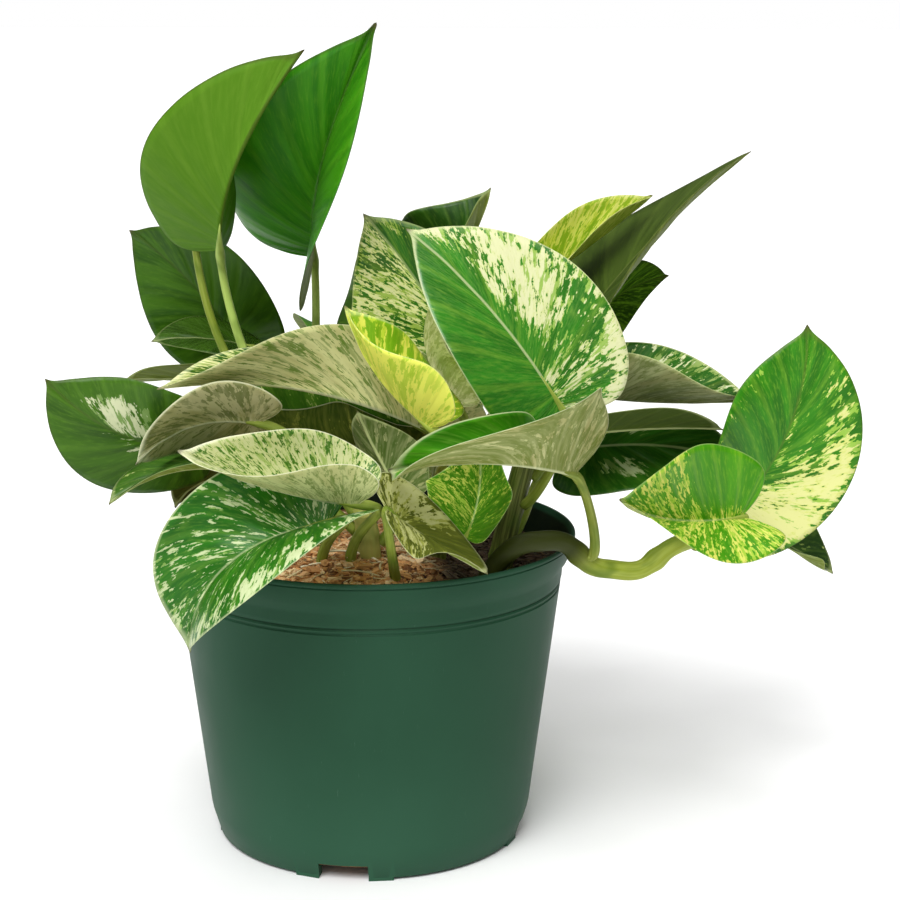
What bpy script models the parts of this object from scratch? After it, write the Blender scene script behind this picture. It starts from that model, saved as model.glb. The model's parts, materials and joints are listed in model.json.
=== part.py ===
"""Potted pothos: a plain nursery pot, its soil, the stems and one solid for each leaf.

The origin is on the ground under the centre of the pot, +Z is up and the plant's front is -Y.
Leaf and stem places are in millimetres and become metres when a mesh is made.
"""
import bpy
import math
import numpy as np
from mathutils import Vector

MM = 0.001
GAP = 0.3                # clearance between pieces that touch

# Pot
FOOT_LIFT = 1.0          # the pads hold the foot ring this far off the ground
FOOT_RADIUS = 57.0
UNDER_RADIUS = 54.0      # inside the foot ring
FLOOR_RADIUS = 56.6      # inside the pot, at its floor
POT_HEIGHT = 115.0
RIM_RADIUS = 76.0
WALL = 1.6
FLOOR_BOTTOM = 2.0
FLOOR_TOP = 4.0
POT_SIDES = 48
DRAINS = 4
DRAIN_FIRST_DEG = -100.0
DRAIN_WIDTH = 18.0
DRAIN_TOP = 6.2
DRAIN_RADIUS = 54.0
DRAIN_DEPTH = 16.0
PAD_WIDTH = 9.0
PAD_RADIUS = 54.2
PAD_DEPTH = 5.4
PAD_TOP = 3.0

# Soil
SOIL_SIDES = 24
SOIL_LEVEL = 104.0
MOUND_HEIGHT = 12.0
MOUND_CENTRE = (-4.0, -38.0)
MOUND_SPREAD = 20.0

# Leaves
BLADE_THICKNESS = 0.8
BLADE_ROWS = 9
BLADE_COLUMNS = 3
VEIN_POWER = 1.5
STALK_RADIUS = 1.7
STALK_SIDES = 6
STALK_STEPS = 7
STEM_SIDES = 8

# Half of a leaf's outline: across (in half widths) and along (in lengths), stalk to tip
HALF_OUTLINE = [(0, 0), (0.30, -0.085), (0.62, -0.10), (0.87, 0.02), (1.0, 0.22), (0.98, 0.42),
                (0.82, 0.61), (0.57, 0.77), (0.32, 0.885), (0.12, 0.96), (0.0, 1.0)]

# Each stem: points from the buried end to the top, and its radius at both ends
STEMS = {
    "stem_left": dict(points=[(-20, 12, 84), (-21, 13, 108), (-26, 17, 150)], radius=(4.2, 3.4)),
    "stem_front": dict(points=[(0, -36, 88), (0, -40, 114), (-2, -46, 134)], radius=(4.6, 3.8)),
    "stem_middle": dict(points=[(22, -8, 84), (24, -10, 110), (27, -14, 148)], radius=(4.2, 3.4)),
    "stem_right": dict(points=[(46, -20, 86), (48, -20, 112), (56, -20, 146)], radius=(4.8, 4.0)),
    "stem_back": dict(points=[(30, 38, 84), (31, 40, 110), (34, 44, 146)], radius=(4.2, 3.4)),
    "vine_trailing": dict(points=[(38, -42, 88), (41, -46, 108), (50, -48, 120), (60, -46, 122),
                                  (69, -42, 120), (78, -37, 111), (86, -33, 108), (97, -30, 107),
                                  (108, -27, 114), (118, -18, 115), (129, -6, 113)], radius=(3.8, 3.2)),
}

# Each leaf: its blade from the stalk joint (base) to the tip, the way its upper side faces,
# then, for its left and right half, the width, the fold at the midrib and the curl to the margin.
# arch and sweep bow the midrib towards the upper side and the right; twist turns the tip.
# lobe shortens the two lobes behind the stalk. at is how far up its stem a stalk leaves; foot is
# where a stalk stands in the soil by itself. spread and bend shape the stalk's curve.
LEAVES = {
    "leaf_top_left": dict(base=(-54, 13, 217), tip=(-22, -14, 290), faces=(0.17, 0.97, 0.15),
                          width=(30, 33), fold=(100, 0), curl=(20, 0), arch=-14, sweep=5, twist=22,
                          stem="stem_left", at=0.98),
    "leaf_top_middle": dict(base=(-21, 51, 209), tip=(3, -11, 299), faces=(-0.3, -0.95, 0.1),
                            width=(38, 29), fold=(32, 52), curl=(-30, 5), arch=11, sweep=-2, twist=32,
                            stem="stem_left", at=0.9, lobe=0.25),
    "leaf_back_left_dark": dict(base=(-51, 78, 169), tip=(-94, 78, 216), faces=(-0.1, -1.0, 0.1),
                                width=(25, 26), fold=(0, 15), curl=(10, 20), arch=3, sweep=4, twist=5,
                                stem="stem_left", at=0.6),
    "leaf_left_glossy": dict(base=(-45, 52, 174), tip=(-83, 44, 178), faces=(0.0, -0.15, 1.0),
                             width=(23, 22), fold=(0, 5), curl=(5, 0), arch=2, sweep=1, twist=-10,
                             stem="stem_left", at=0.86),
    "leaf_left_under": dict(base=(-56, 54, 161), tip=(-94, 46, 163), faces=(0.0, 0.4, 0.9),
                            width=(17, 20), fold=(4, 0), curl=(5, 20), sweep=-3,
                            stem="stem_left", at=0.72),
    "leaf_far_left": dict(base=(-61, -10, 147), tip=(-114, -23, 176), faces=(-0.3, -0.95, 0.2),
                          width=(24, 26), fold=(-15, 15), curl=(0, 10), arch=4, sweep=-6, twist=36,
                          stem="stem_left", at=0.72),
    "leaf_left_low": dict(base=(-49, -30, 145), tip=(-91, -41, 135), faces=(-0.15, -0.1, 1.0),
                          width=(23, 20), fold=(26, 18), curl=(-16, -40), arch=5, sweep=1, twist=-14,
                          stem="stem_front", at=0.72),
    "leaf_left_turned": dict(base=(-39, -28, 161), tip=(-81, -45, 150), faces=(0.0, 0.76, 0.65),
                             width=(20, 19), fold=(-5, 0), curl=(15, 15), arch=6, sweep=-3, twist=10,
                             stem="stem_front", at=0.88),
    "leaf_centre_long": dict(base=(25, -30, 156), tip=(-73, -42, 176), faces=(0.0, 0.1, 1.0),
                             width=(26, 20), fold=(68, 30), curl=(10, 26), arch=8, sweep=6, twist=-97,
                             stem="stem_middle", at=0.98, bend=0.12),
    "leaf_young_lime": dict(base=(21, -50, 164), tip=(-8, -44, 205), faces=(0.62, -0.35, 0.7),
                            width=(28, 23), fold=(35, 50), curl=(40, -50), arch=-5, twist=-23,
                            stem="stem_middle", at=0.85),
    "leaf_young_rolled": dict(base=(31, -30, 167), tip=(22, -36, 205), faces=(0.88, -0.45, 0.16),
                              width=(20, 20), fold=(60, 85), curl=(0, 10), arch=-8, sweep=3, twist=-10,
                              stem="stem_middle", at=0.78, bend=0.4),
    "leaf_centre_cream": dict(base=(40, 12.5, 160), tip=(-2, 22.5, 229), faces=(0.0, -0.97, 0.22),
                              width=(35, 25), fold=(0, 5), curl=(8, 14), arch=3, sweep=4, twist=3,
                              stem="stem_middle", at=0.75),
    "leaf_centre_main": dict(base=(66, -48, 170), tip=(13, -39, 231), faces=(0.3, -0.84, 0.46),
                             width=(29, 35), fold=(15, -3), curl=(0, 27), arch=4, sweep=2, twist=9,
                             stem="stem_right", at=0.98),
    "leaf_back_hooked": dict(base=(22, 53, 202.4), tip=(46, 43, 236.4), faces=(-0.45, -0.77, 0.46),
                             width=(24, 24), fold=(24, 66), curl=(23, 0), arch=2, sweep=8, twist=-10,
                             stem="stem_back", at=0.9, bend=0.2),
    "leaf_back_lime": dict(base=(57, 30, 198), tip=(107, 39, 234), faces=(-0.25, -0.86, 0.45),
                           width=(21, 24), fold=(53, 69), curl=(32, 13), arch=-2, twist=-23,
                           stem="stem_back", at=0.98),
    "leaf_right_pointed": dict(base=(75, 4, 187), tip=(143, 35, 251), faces=(-0.3, 0.36, 0.88),
                               width=(37, 35), fold=(25, -14), curl=(7, 27), arch=4, sweep=-4, twist=-15,
                               stem="stem_back", at=0.85, bend=0.15),
    "leaf_right_dark": dict(base=(87, 43, 176), tip=(120, 81, 197), faces=(0.0, -0.88, -0.48),
                            width=(23, 22), fold=(15, 0), curl=(7, 10), arch=-8, sweep=-2, twist=9,
                            stem="stem_back", at=0.8),
    "leaf_right_marbled": dict(base=(77, -17, 169), tip=(141, 0, 163), faces=(0.0, -0.3, 0.96),
                               width=(23, 23), fold=(35, 54), curl=(21, -3), arch=-3, sweep=-2, twist=47,
                               stem="stem_right", at=0.88),
    "leaf_right_narrow": dict(base=(79, -35, 159), tip=(128, -14, 155), faces=(0.0, 0.25, 0.97),
                              width=(10, 11), fold=(15, 36), curl=(21, 0), arch=1, sweep=2,
                              stem="stem_right", at=0.75),
    "leaf_right_broad": dict(base=(74, 1, 144), tip=(136, 3, 139), faces=(0.0, -0.93, 0.37),
                             width=(22, 24), fold=(46, 24), curl=(40, 28), arch=6, sweep=-3, twist=-11,
                             stem="stem_right", at=0.55),
    "leaf_vine_upright": dict(base=(135, 0, 120), tip=(161, 5, 190), faces=(0.12, -0.97, 0.22),
                              width=(35, 31), fold=(18, -4), curl=(23, 12), sweep=8, twist=-36,
                              stem="vine_trailing", at=0.995),
    "leaf_vine_front": dict(base=(133, -30, 126), tip=(84, -75, 144), faces=(0.14, -0.8, 0.59),
                            width=(27, 28), fold=(44, 48), curl=(-19, -17), arch=-7, sweep=-1, twist=-2,
                            stem="vine_trailing", at=0.86),
    "leaf_vine_low": dict(base=(153, 24, 105), tip=(181, 34, 87), faces=(0.12, -0.6, 0.79),
                          width=(22, 23), fold=(7, 30), curl=(2, 25), arch=-2, sweep=-3, twist=4,
                          stem="vine_trailing", at=0.91, bend=0.12),
    "leaf_front_folded": dict(base=(69, -67, 151), tip=(6, -69, 153), faces=(0.0, -0.8, 0.6),
                              width=(33, 18), fold=(88, 11), curl=(-9, 57), arch=22, sweep=-6, twist=-91,
                              stem="vine_trailing", at=0.45, spread=12, bend=0.2),
    "leaf_front_round": dict(base=(33, -54, 125.2), tip=(37, -43, 161.2), faces=(-0.1, -1.0, 0.1),
                             width=(23, 24), fold=(37, 51), curl=(3, 21), arch=-6, sweep=3, twist=3,
                             stem="stem_middle", at=0.5),
    "leaf_front_hanging": dict(base=(6, -84, 143.4), tip=(39, -92, 123.6), faces=(0.33, 0.47, 0.82),
                               width=(21, 23), fold=(27, -15), curl=(33, -28), arch=1, sweep=-7, twist=-16,
                               foot=(9, -54), bend=0.05),
    "leaf_front_cream": dict(base=(-4, -86, 146), tip=(-62, -90, 165), faces=(0.0, -0.44, 0.9),
                             width=(21, 22), fold=(43, 39), curl=(23, 47), arch=-4, twist=-56,
                             foot=(-7, -46)),
    "leaf_front_over_rim": dict(base=(-13, -79, 138), tip=(-61, -77, 92), faces=(-0.53, -0.37, 0.76),
                                width=(29, 28), fold=(15, 36), curl=(-22, 61), arch=18, sweep=-5, twist=-24,
                                foot=(-17, -42)),
    "leaf_centre_cupped": dict(base=(20, 6, 145), tip=(-58, -6, 171), faces=(-0.16, -0.67, 0.72),
                               width=(36, 31), fold=(63, 40), curl=(57, 12), arch=-17, sweep=-4, twist=16,
                               stem="stem_middle", at=0.7),
    "leaf_left_shaded": dict(base=(-46, 17, 126), tip=(-73, 13, 120), faces=(0.0, 0.62, 0.78),
                             width=(20, 19), fold=(10, 10), curl=(8, 12), arch=6, sweep=-4, twist=2,
                             stem="stem_left", at=0.6),
    "leaf_centre_sliver": dict(base=(-1, 36, 183), tip=(-2, 46, 217), faces=(-0.7, -0.7, 0.16),
                               width=(21, 19), fold=(-12, 4), curl=(2, 6), arch=-4, sweep=2, twist=-8,
                               stem="stem_back", at=0.8, bend=0.2),
    "leaf_centre_low": dict(base=(12, -42, 137), tip=(-4, -36, 167), faces=(0.27, 0.82, 0.5),
                            width=(15, 15), fold=(5, 5), curl=(30, 37), arch=4, sweep=4, twist=-7,
                            stem="stem_front", at=0.6),
    "leaf_top_left_behind": dict(base=(-65, 29, 225), tip=(-72, 38, 262), faces=(-0.5, 0.8, 0.1),
                                 width=(12, 12), fold=(10, 12), curl=(10, 14), arch=-3,
                                 stem="stem_left", at=0.9),
    "leaf_rear_left": dict(base=(-44, 80, 130), tip=(-76, 116, 122), faces=(-0.2, 0.2, 1.0),
                           width=(27, 28), fold=(12, 14), curl=(14, 12), arch=8, twist=10,
                           stem="stem_left", at=0.5),
    "leaf_rear_middle": dict(base=(-2, 78, 166), tip=(-8, 128, 148), faces=(0.0, 0.5, 0.9),
                             width=(29, 28), fold=(14, 12), curl=(10, 14), arch=10, twist=-8,
                             stem="stem_back", at=0.99),
    "leaf_rear_right": dict(base=(44, 74, 156), tip=(80, 112, 142), faces=(0.3, 0.3, 0.9),
                            width=(27, 26), fold=(10, 14), curl=(12, 10), arch=8, twist=10,
                            stem="stem_back", at=0.75),
    "leaf_rear_hanging": dict(base=(16, 84, 130), tip=(22, 104, 82), faces=(0.0, 0.9, 0.3),
                              width=(24, 25), fold=(12, 10), curl=(14, 12), arch=7, twist=-8,
                              stem="stem_back", at=0.55),
}

LEAF_GREEN = (0.10, 0.30, 0.06)
POT_GREEN = (0.035, 0.10, 0.065)
SOIL_BROWN = (0.16, 0.08, 0.04)
STEM_GREEN = (0.28, 0.34, 0.09)


def clear_scene():
    for item in list(bpy.data.objects):
        bpy.data.objects.remove(item, do_unlink=True)


def make_material(name, colour, roughness):
    material = bpy.data.materials.new(name)
    material.use_nodes = True
    shader = material.node_tree.nodes["Principled BSDF"]
    shader.inputs["Base Color"].default_value = (*colour, 1.0)
    shader.inputs["Roughness"].default_value = roughness
    shader.inputs["Metallic"].default_value = 0.0
    return material


def add_object(name, points_mm, faces, material, smooth_angle=60.0):
    mesh = bpy.data.meshes.new(name)
    mesh.from_pydata([tuple(MM * c for c in p) for p in points_mm], [], faces)
    mesh.validate()
    mesh.shade_smooth()
    mesh.set_sharp_from_angle(angle=math.radians(smooth_angle))
    mesh.materials.append(material)
    item = bpy.data.objects.new(name, mesh)
    bpy.context.scene.collection.objects.link(item)
    return item


def as_cutter(item):
    item.hide_render = True
    item.display_type = "WIRE"


def add_boolean(item, operand, operation):
    modifier = item.modifiers.new(operand.name, "BOOLEAN")
    modifier.operation = operation
    modifier.solver = "EXACT"
    modifier.object = operand


def unit(v):
    return v / np.linalg.norm(v, axis=-1, keepdims=True)


def smooth_path(points, steps):
    """Points along a Catmull-Rom curve through the given points."""
    p = np.array(points, float)
    ends = np.vstack([2 * p[0] - p[1], p, 2 * p[-1] - p[-2]])
    spans = len(p) - 1
    path = []
    for s in np.linspace(0, spans, steps):
        i = min(int(s), spans - 1)
        u = s - i
        a, b, c, d = ends[i:i + 4]
        path.append(0.5 * (2 * b + (c - a) * u + (2 * a - 5 * b + 4 * c - d) * u ** 2
                           + (3 * b - a - 3 * c + d) * u ** 3))
    return np.array(path)


def tube(path, radii, sides):
    """A closed tube along the path, with flat caps."""
    tangents = unit(np.gradient(path, axis=0))
    side = np.cross(tangents[0], (0.3, 1.0, 0.2))
    points = []
    for centre, tangent, radius in zip(path, tangents, radii):
        side = unit(side - tangent * (side @ tangent))
        up = np.cross(tangent, side)
        for k in range(sides):
            angle = 2 * math.pi * k / sides
            points.append(centre + radius * (math.cos(angle) * side + math.sin(angle) * up))
    faces = []
    for row in range(len(path) - 1):
        for k in range(sides):
            a = row * sides + k
            b = row * sides + (k + 1) % sides
            faces += [(a, b, b + sides), (a, b + sides, a + sides)]
    last = (len(path) - 1) * sides
    for k in range(1, sides - 1):
        faces.append((0, k + 1, k))
        faces.append((last, last + k, last + k + 1))
    return points, faces


# Pot

def wall_profile():
    """Outer radius and height of the pot's wall, from the foot to the lip."""
    top = POT_HEIGHT
    return [(FOOT_RADIUS, FOOT_LIFT), (59.6, 10.0), (70.6, top - 19.8), (70.2, top - 19.2),
            (70.7, top - 18.6), (70.8, top - 17.8), (70.4, top - 17.2), (71.0, top - 16.6),
            (71.2, top - 11.5), (73.4, top - 8.0), (75.2, top - 4.5), (75.7, top - 1.9),
            (75.4, top - 1.5), (RIM_RADIUS, top - 1.0), (RIM_RADIUS, top)]


def wall_radius(height):
    profile = [(FOOT_RADIUS, FOOT_LIFT), (59.6, 10.0), (70.6, POT_HEIGHT - 19.8), (71.2, POT_HEIGHT - 11.5),
               (75.2, POT_HEIGHT - 4.5), (RIM_RADIUS, POT_HEIGHT)]
    return float(np.interp(height, [z for r, z in profile], [r for r, z in profile]))


def inner_radius(height):
    return wall_radius(height) - WALL


def turned(profile, sides, close_bottom, close_top):
    """Turns a list of (radius, height) about Z; its first and last ring can be closed flat."""
    points = []
    for radius, height in profile:
        for k in range(sides):
            angle = 2 * math.pi * k / sides
            points.append((radius * math.cos(angle), radius * math.sin(angle), height))
    faces = []
    for row in range(len(profile) - 1):
        for k in range(sides):
            a = row * sides + k
            b = row * sides + (k + 1) % sides
            faces.append((a, b, b + sides, a + sides))
    if close_bottom:
        faces.append(tuple(reversed(range(sides))))
    if close_top:
        last = (len(profile) - 1) * sides
        faces.append(tuple(range(last, last + sides)))
    return points, faces


def box_points(centre_radius, depth, width, low, high, angle):
    """Corners and faces of a box that stands at an angle round the pot."""
    along = np.array((math.cos(angle), math.sin(angle), 0.0))
    across = np.array((-math.sin(angle), math.cos(angle), 0.0))
    points = []
    for z in (low, high):
        for a, b in ((-1, -1), (1, -1), (1, 1), (-1, 1)):
            corner = along * (centre_radius + a * depth / 2) + across * (b * width / 2)
            points.append((corner[0], corner[1], z))
    faces = [(3, 2, 1, 0), (4, 5, 6, 7), (0, 1, 5, 4), (1, 2, 6, 5), (2, 3, 7, 6), (3, 0, 4, 7)]
    return points, faces


def make_pot():
    material = make_material("pot_plastic", POT_GREEN, 0.45)
    outer = wall_profile()
    levels = (POT_HEIGHT, POT_HEIGHT - 4.5, POT_HEIGHT - 11.5, POT_HEIGHT - 19.8, 10.0)
    inner = [(inner_radius(z), z) for z in levels]
    shell = outer + inner + [(FLOOR_RADIUS, FLOOR_TOP)]
    points, faces = turned(shell, POT_SIDES, False, True)
    under = [(UNDER_RADIUS, FOOT_LIFT), (UNDER_RADIUS - 0.4, FLOOR_BOTTOM)]
    first = len(points)
    for radius, height in under:
        for k in range(POT_SIDES):
            angle = 2 * math.pi * k / POT_SIDES
            points.append((radius * math.cos(angle), radius * math.sin(angle), height))
    for k in range(POT_SIDES):
        n = (k + 1) % POT_SIDES
        faces.append((k, first + k, first + n, n))
        faces.append((first + k, first + POT_SIDES + k, first + POT_SIDES + n, first + n))
    faces.append(tuple(reversed(range(first + POT_SIDES, first + 2 * POT_SIDES))))
    pot = add_object("pot", points, faces, material, 25.0)
    for index in range(DRAINS):
        angle = math.radians(DRAIN_FIRST_DEG + index * 360.0 / DRAINS)
        for side in (-1, 1):
            turn = side * (DRAIN_WIDTH / 2 + PAD_WIDTH / 2) / FOOT_RADIUS
            pad_shape = box_points(PAD_RADIUS, PAD_DEPTH, PAD_WIDTH, 0.0, PAD_TOP, angle + turn)
            pad = add_object(f"pad_{index}_{side}", *pad_shape, material)
            as_cutter(pad)
            add_boolean(pot, pad, "UNION")
        slot_shape = box_points(DRAIN_RADIUS, DRAIN_DEPTH, DRAIN_WIDTH, -1.0, DRAIN_TOP, angle)
        slot = add_object(f"drain_{index}", *slot_shape, material)
        as_cutter(slot)
        add_boolean(pot, slot, "DIFFERENCE")
    return pot


# Soil

def soil_height(x, y):
    distance = (x - MOUND_CENTRE[0]) ** 2 + (y - MOUND_CENTRE[1]) ** 2
    mound = MOUND_HEIGHT * math.exp(-distance / (2 * MOUND_SPREAD ** 2))
    lumps = 0.8 * math.sin(x * 0.21 + 1.0) * math.sin(y * 0.17)
    return SOIL_LEVEL + mound + lumps


def make_soil(stems):
    material = make_material("soil_mix", SOIL_BROWN, 0.95)
    low = FLOOR_TOP + GAP + 0.6
    sides = [(inner_radius(10.0) - GAP - 0.5, 10.6), (inner_radius(60.0) - GAP - 0.5, 60.0)]
    rings = [(55.6, low)] + sides
    points, faces = turned(rings, SOIL_SIDES, True, False)
    edge = inner_radius(SOIL_LEVEL) - GAP - 0.6
    for fraction in (1.0, 0.85, 0.68, 0.5, 0.32, 0.16):
        for k in range(SOIL_SIDES):
            angle = 2 * math.pi * k / SOIL_SIDES
            x = edge * fraction * math.cos(angle)
            y = edge * fraction * math.sin(angle)
            points.append((x, y, soil_height(x, y)))
    rows = len(points) // SOIL_SIDES
    for row in range(len(rings) - 1, rows - 1):
        for k in range(SOIL_SIDES):
            a = row * SOIL_SIDES + k
            b = row * SOIL_SIDES + (k + 1) % SOIL_SIDES
            faces.append((a, b, b + SOIL_SIDES, a + SOIL_SIDES))
    points.append((0.0, 0.0, soil_height(0.0, 0.0)))
    last = (rows - 1) * SOIL_SIDES
    for k in range(SOIL_SIDES):
        faces.append((last + k, last + (k + 1) % SOIL_SIDES, len(points) - 1))
    soil = add_object("soil", points, faces, material, 40.0)
    for name, stem in stems.items():
        path, radii = stem_path(stem)
        path = path.copy()
        path[0] -= GAP * unit(path[1] - path[0])
        hole = add_object(f"{name}_hole", *tube(path, radii + GAP + 0.1, STEM_SIDES), material)
        as_cutter(hole)
        add_boolean(soil, hole, "DIFFERENCE")
    return soil


# Stems

def stem_path(stem):
    steps = 4 * (len(stem["points"]) - 1) + 1 if len(stem["points"]) < 5 else 26
    path = smooth_path(stem["points"], steps)
    radii = np.linspace(stem["radius"][0], stem["radius"][1], steps)
    return path, radii


def make_stem(name, stem):
    path, radii = stem_path(stem)
    material = make_material(f"{name}_skin", STEM_GREEN, 0.5)
    return add_object(name, *tube(path, radii, STEM_SIDES), material)


# Leaves

class LeafShape:
    """Maps a leaf's flat outline to its folded, curled and bowed place in space (mm)."""

    def __init__(self, leaf):
        self.base = np.array(leaf["base"], float)
        chord = np.array(leaf["tip"], float) - self.base
        self.length = float(np.linalg.norm(chord))
        self.along = chord / self.length
        faces = np.array(leaf["faces"], float)
        self.up = unit(faces - self.along * (faces @ self.along))
        self.right = np.cross(self.along, self.up)
        self.arch = leaf.get("arch", 0)
        self.sweep = leaf.get("sweep", 0)
        self.twist = math.radians(leaf.get("twist", 0))
        self.leaf = leaf

    def midrib(self, t):
        bulge = 4 * t if t < 0 else 4 * t * (1 - t)
        return (self.base + t * self.length * self.along
                + bulge * (self.arch * self.up + self.sweep * self.right))

    def point(self, side, across, t):
        half = 0 if side < 0 else 1
        width = self.leaf["width"][half]
        tangent = unit(self.midrib(t + 0.001) - self.midrib(t - 0.001))
        turn = self.twist * (min(max(t, 0.0), 1.0) - 0.5)
        normal = math.cos(turn) * self.up + math.sin(turn) * self.right
        normal = unit(normal - tangent * (normal @ tangent))
        outward = side * np.cross(tangent, normal)
        fold = math.radians(self.leaf["fold"][half])
        bend = math.radians(self.leaf["curl"][half] or 0.01) / width
        reach = across * width
        out = (math.sin(fold + bend * reach) - math.sin(fold)) / bend
        rise = (math.cos(fold) - math.cos(fold + bend * reach)) / bend
        return self.midrib(t) + out * outward + rise * normal


def blade_sheet(shape):
    """The leaf's middle surface: points, and faces seen from the upper side."""
    outline = smooth_path(HALF_OUTLINE, BLADE_ROWS)
    lobe = shape.leaf.get("lobe", 1.0)
    rows = range(1, BLADE_ROWS - 1)
    points = [shape.midrib(0.0), shape.midrib(1.0)]
    index = {}
    for i in rows:
        foot = (i / (BLADE_ROWS - 1)) ** VEIN_POWER
        index[i, 0] = len(points)
        points.append(shape.midrib(foot))
        for side in (-1, 1):
            for j in range(1, BLADE_COLUMNS):
                r = j / (BLADE_COLUMNS - 1)
                across = r * outline[i][0]
                t = foot * (1 - r) + r * outline[i][1] * (lobe if outline[i][1] < 0 else 1)
                index[i, side * j] = len(points)
                points.append(shape.point(side, across, t))
    faces = []
    margin = [0]
    for side in (-1, 1):
        for j in range(BLADE_COLUMNS - 1):
            a, b = side * j, side * (j + 1)
            ends = [(0, index[1, b], index[1, a]), (1, index[BLADE_ROWS - 2, a], index[BLADE_ROWS - 2, b])]
            quads = [(index[i, a], index[i, b], index[i + 1, b], index[i + 1, a]) for i in rows[:-1]]
            corners = [(a, b, c) for a, b, c, d in quads] + [(a, c, d) for a, b, c, d in quads]
            for face in ends + corners:
                faces.append(face if side > 0 else tuple(reversed(face)))
    edge = BLADE_COLUMNS - 1
    margin += [index[i, edge] for i in rows] + [1] + [index[i, -edge] for i in reversed(rows)]
    return np.array(points), faces, margin


def sheet_normals(points, faces):
    normals = np.zeros_like(points)
    for face in faces:
        corners = points[list(face)]
        normal = np.zeros(3)
        for k in range(len(face)):
            normal += np.cross(corners[k], corners[(k + 1) % len(face)])
        for vertex in face:
            normals[vertex] += normal
    return unit(normals)


def blade_solid(shape):
    points, faces, margin = blade_sheet(shape)
    normals = sheet_normals(points, faces)
    half = 0.5 * BLADE_THICKNESS
    count = len(points)
    solid_points = np.vstack([points + half * normals, points - half * normals])
    solid_faces = list(faces)
    solid_faces += [tuple(count + v for v in reversed(face)) for face in faces]
    for a, b in zip(margin, margin[1:] + margin[:1]):
        solid_faces += [(b, a, count + a), (b, count + a, count + b)]
    return solid_points, solid_faces


def bezier(a, b, c, d, steps):
    t = np.linspace(0, 1, steps)[:, None]
    return (1 - t) ** 3 * a + 3 * (1 - t) ** 2 * t * b + 3 * (1 - t) * t ** 2 * c + t ** 3 * d


def stalk_path(shape, leaf):
    """From under the blade's base, back past the joint and down to the stem."""
    start = shape.midrib(0.05) - 0.9 * shape.up
    back = unit(shape.midrib(0.0) - shape.midrib(0.06))
    if "foot" in leaf:
        x, y = leaf["foot"]
        end = np.array((x, y, soil_height(x, y) + 1.2))
        leave = np.array((0.0, 0.0, 1.0))
    else:
        path, radii = stem_path(STEMS[leaf["stem"]])
        place = leaf["at"] * (len(path) - 1)
        k = min(int(place), len(path) - 2)
        joint = path[k] + (place - k) * (path[k + 1] - path[k])
        climb = unit(path[k + 1] - path[k])
        outward = shape.base - joint
        outward = unit(outward - climb * (outward @ climb))
        spread = math.radians(leaf.get("spread", 40))
        leave = math.cos(spread) * climb + math.sin(spread) * outward
        end = joint + (radii[k] + GAP + 0.2) * outward + STALK_RADIUS * leave
    reach = np.linalg.norm(end - shape.base)
    bend = leaf.get("bend", 0.35)
    return bezier(start, shape.base + bend * reach * back, end + bend * reach * leave, end, STALK_STEPS)


def make_leaf(name, leaf):
    shape = LeafShape(leaf)
    material = make_material(f"{name}_green", LEAF_GREEN, 0.4)
    blade = add_object(name, *blade_solid(shape), material, 80.0)
    path = stalk_path(shape, leaf)
    radii = np.linspace(STALK_RADIUS, STALK_RADIUS * 1.2, len(path))
    stalk = add_object(f"{name}_stalk", *tube(path, radii, STALK_SIDES), material)
    as_cutter(stalk)
    add_boolean(blade, stalk, "UNION")
    return blade


clear_scene()
make_pot()
make_soil(STEMS)
for stem_name, stem_shape in STEMS.items():
    make_stem(stem_name, stem_shape)
for leaf_name, leaf_shape in LEAVES.items():
    make_leaf(leaf_name, leaf_shape)
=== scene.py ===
import json
import math
import random
from functools import partial
import bpy
import numpy as np
from mathutils import Matrix, Vector

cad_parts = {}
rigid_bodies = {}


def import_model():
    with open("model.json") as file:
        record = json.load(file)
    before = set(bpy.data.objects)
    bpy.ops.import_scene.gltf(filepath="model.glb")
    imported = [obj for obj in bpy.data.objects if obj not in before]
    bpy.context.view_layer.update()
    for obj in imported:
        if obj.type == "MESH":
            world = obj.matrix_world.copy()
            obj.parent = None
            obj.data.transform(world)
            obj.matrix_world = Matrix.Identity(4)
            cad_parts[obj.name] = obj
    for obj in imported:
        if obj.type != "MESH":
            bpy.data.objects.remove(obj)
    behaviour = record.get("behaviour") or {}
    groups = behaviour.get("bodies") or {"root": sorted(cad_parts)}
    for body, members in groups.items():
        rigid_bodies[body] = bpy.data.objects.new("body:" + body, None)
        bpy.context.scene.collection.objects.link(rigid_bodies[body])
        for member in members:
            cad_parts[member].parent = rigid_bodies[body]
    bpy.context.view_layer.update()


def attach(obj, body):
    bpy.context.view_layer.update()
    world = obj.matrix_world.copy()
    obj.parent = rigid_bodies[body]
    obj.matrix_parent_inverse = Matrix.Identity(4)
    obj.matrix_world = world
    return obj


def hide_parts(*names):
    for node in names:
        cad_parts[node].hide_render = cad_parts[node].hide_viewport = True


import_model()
mm = 0.001


def linearColour(hexText):
    channels = [int(hexText[k:k + 2], 16) / 255 for k in (1, 3, 5)]
    linear = [c / 12.92 if c <= 0.04045 else ((c + 0.055) / 1.055) ** 2.4 for c in channels]
    return (*linear, 1.0)


# Sockets are linked and numbers are set. What comes back is one output, and .node reaches the others.
def addNode(tree, kind, inputs={}, out=0, **settings):
    node = tree.nodes.new(kind)
    for key, value in settings.items():
        setattr(node, key, value)
    for key, value in inputs.items():
        if isinstance(value, bpy.types.NodeSocket):
            tree.links.new(value, node.inputs[key])
        else:
            node.inputs[key].default_value = value
    return node.outputs[out] if node.outputs else None


def startMaterial(name):
    material = bpy.data.materials.new(name)
    material.use_nodes = True
    material.node_tree.nodes.clear()
    return material, partial(addNode, material.node_tree)


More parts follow.
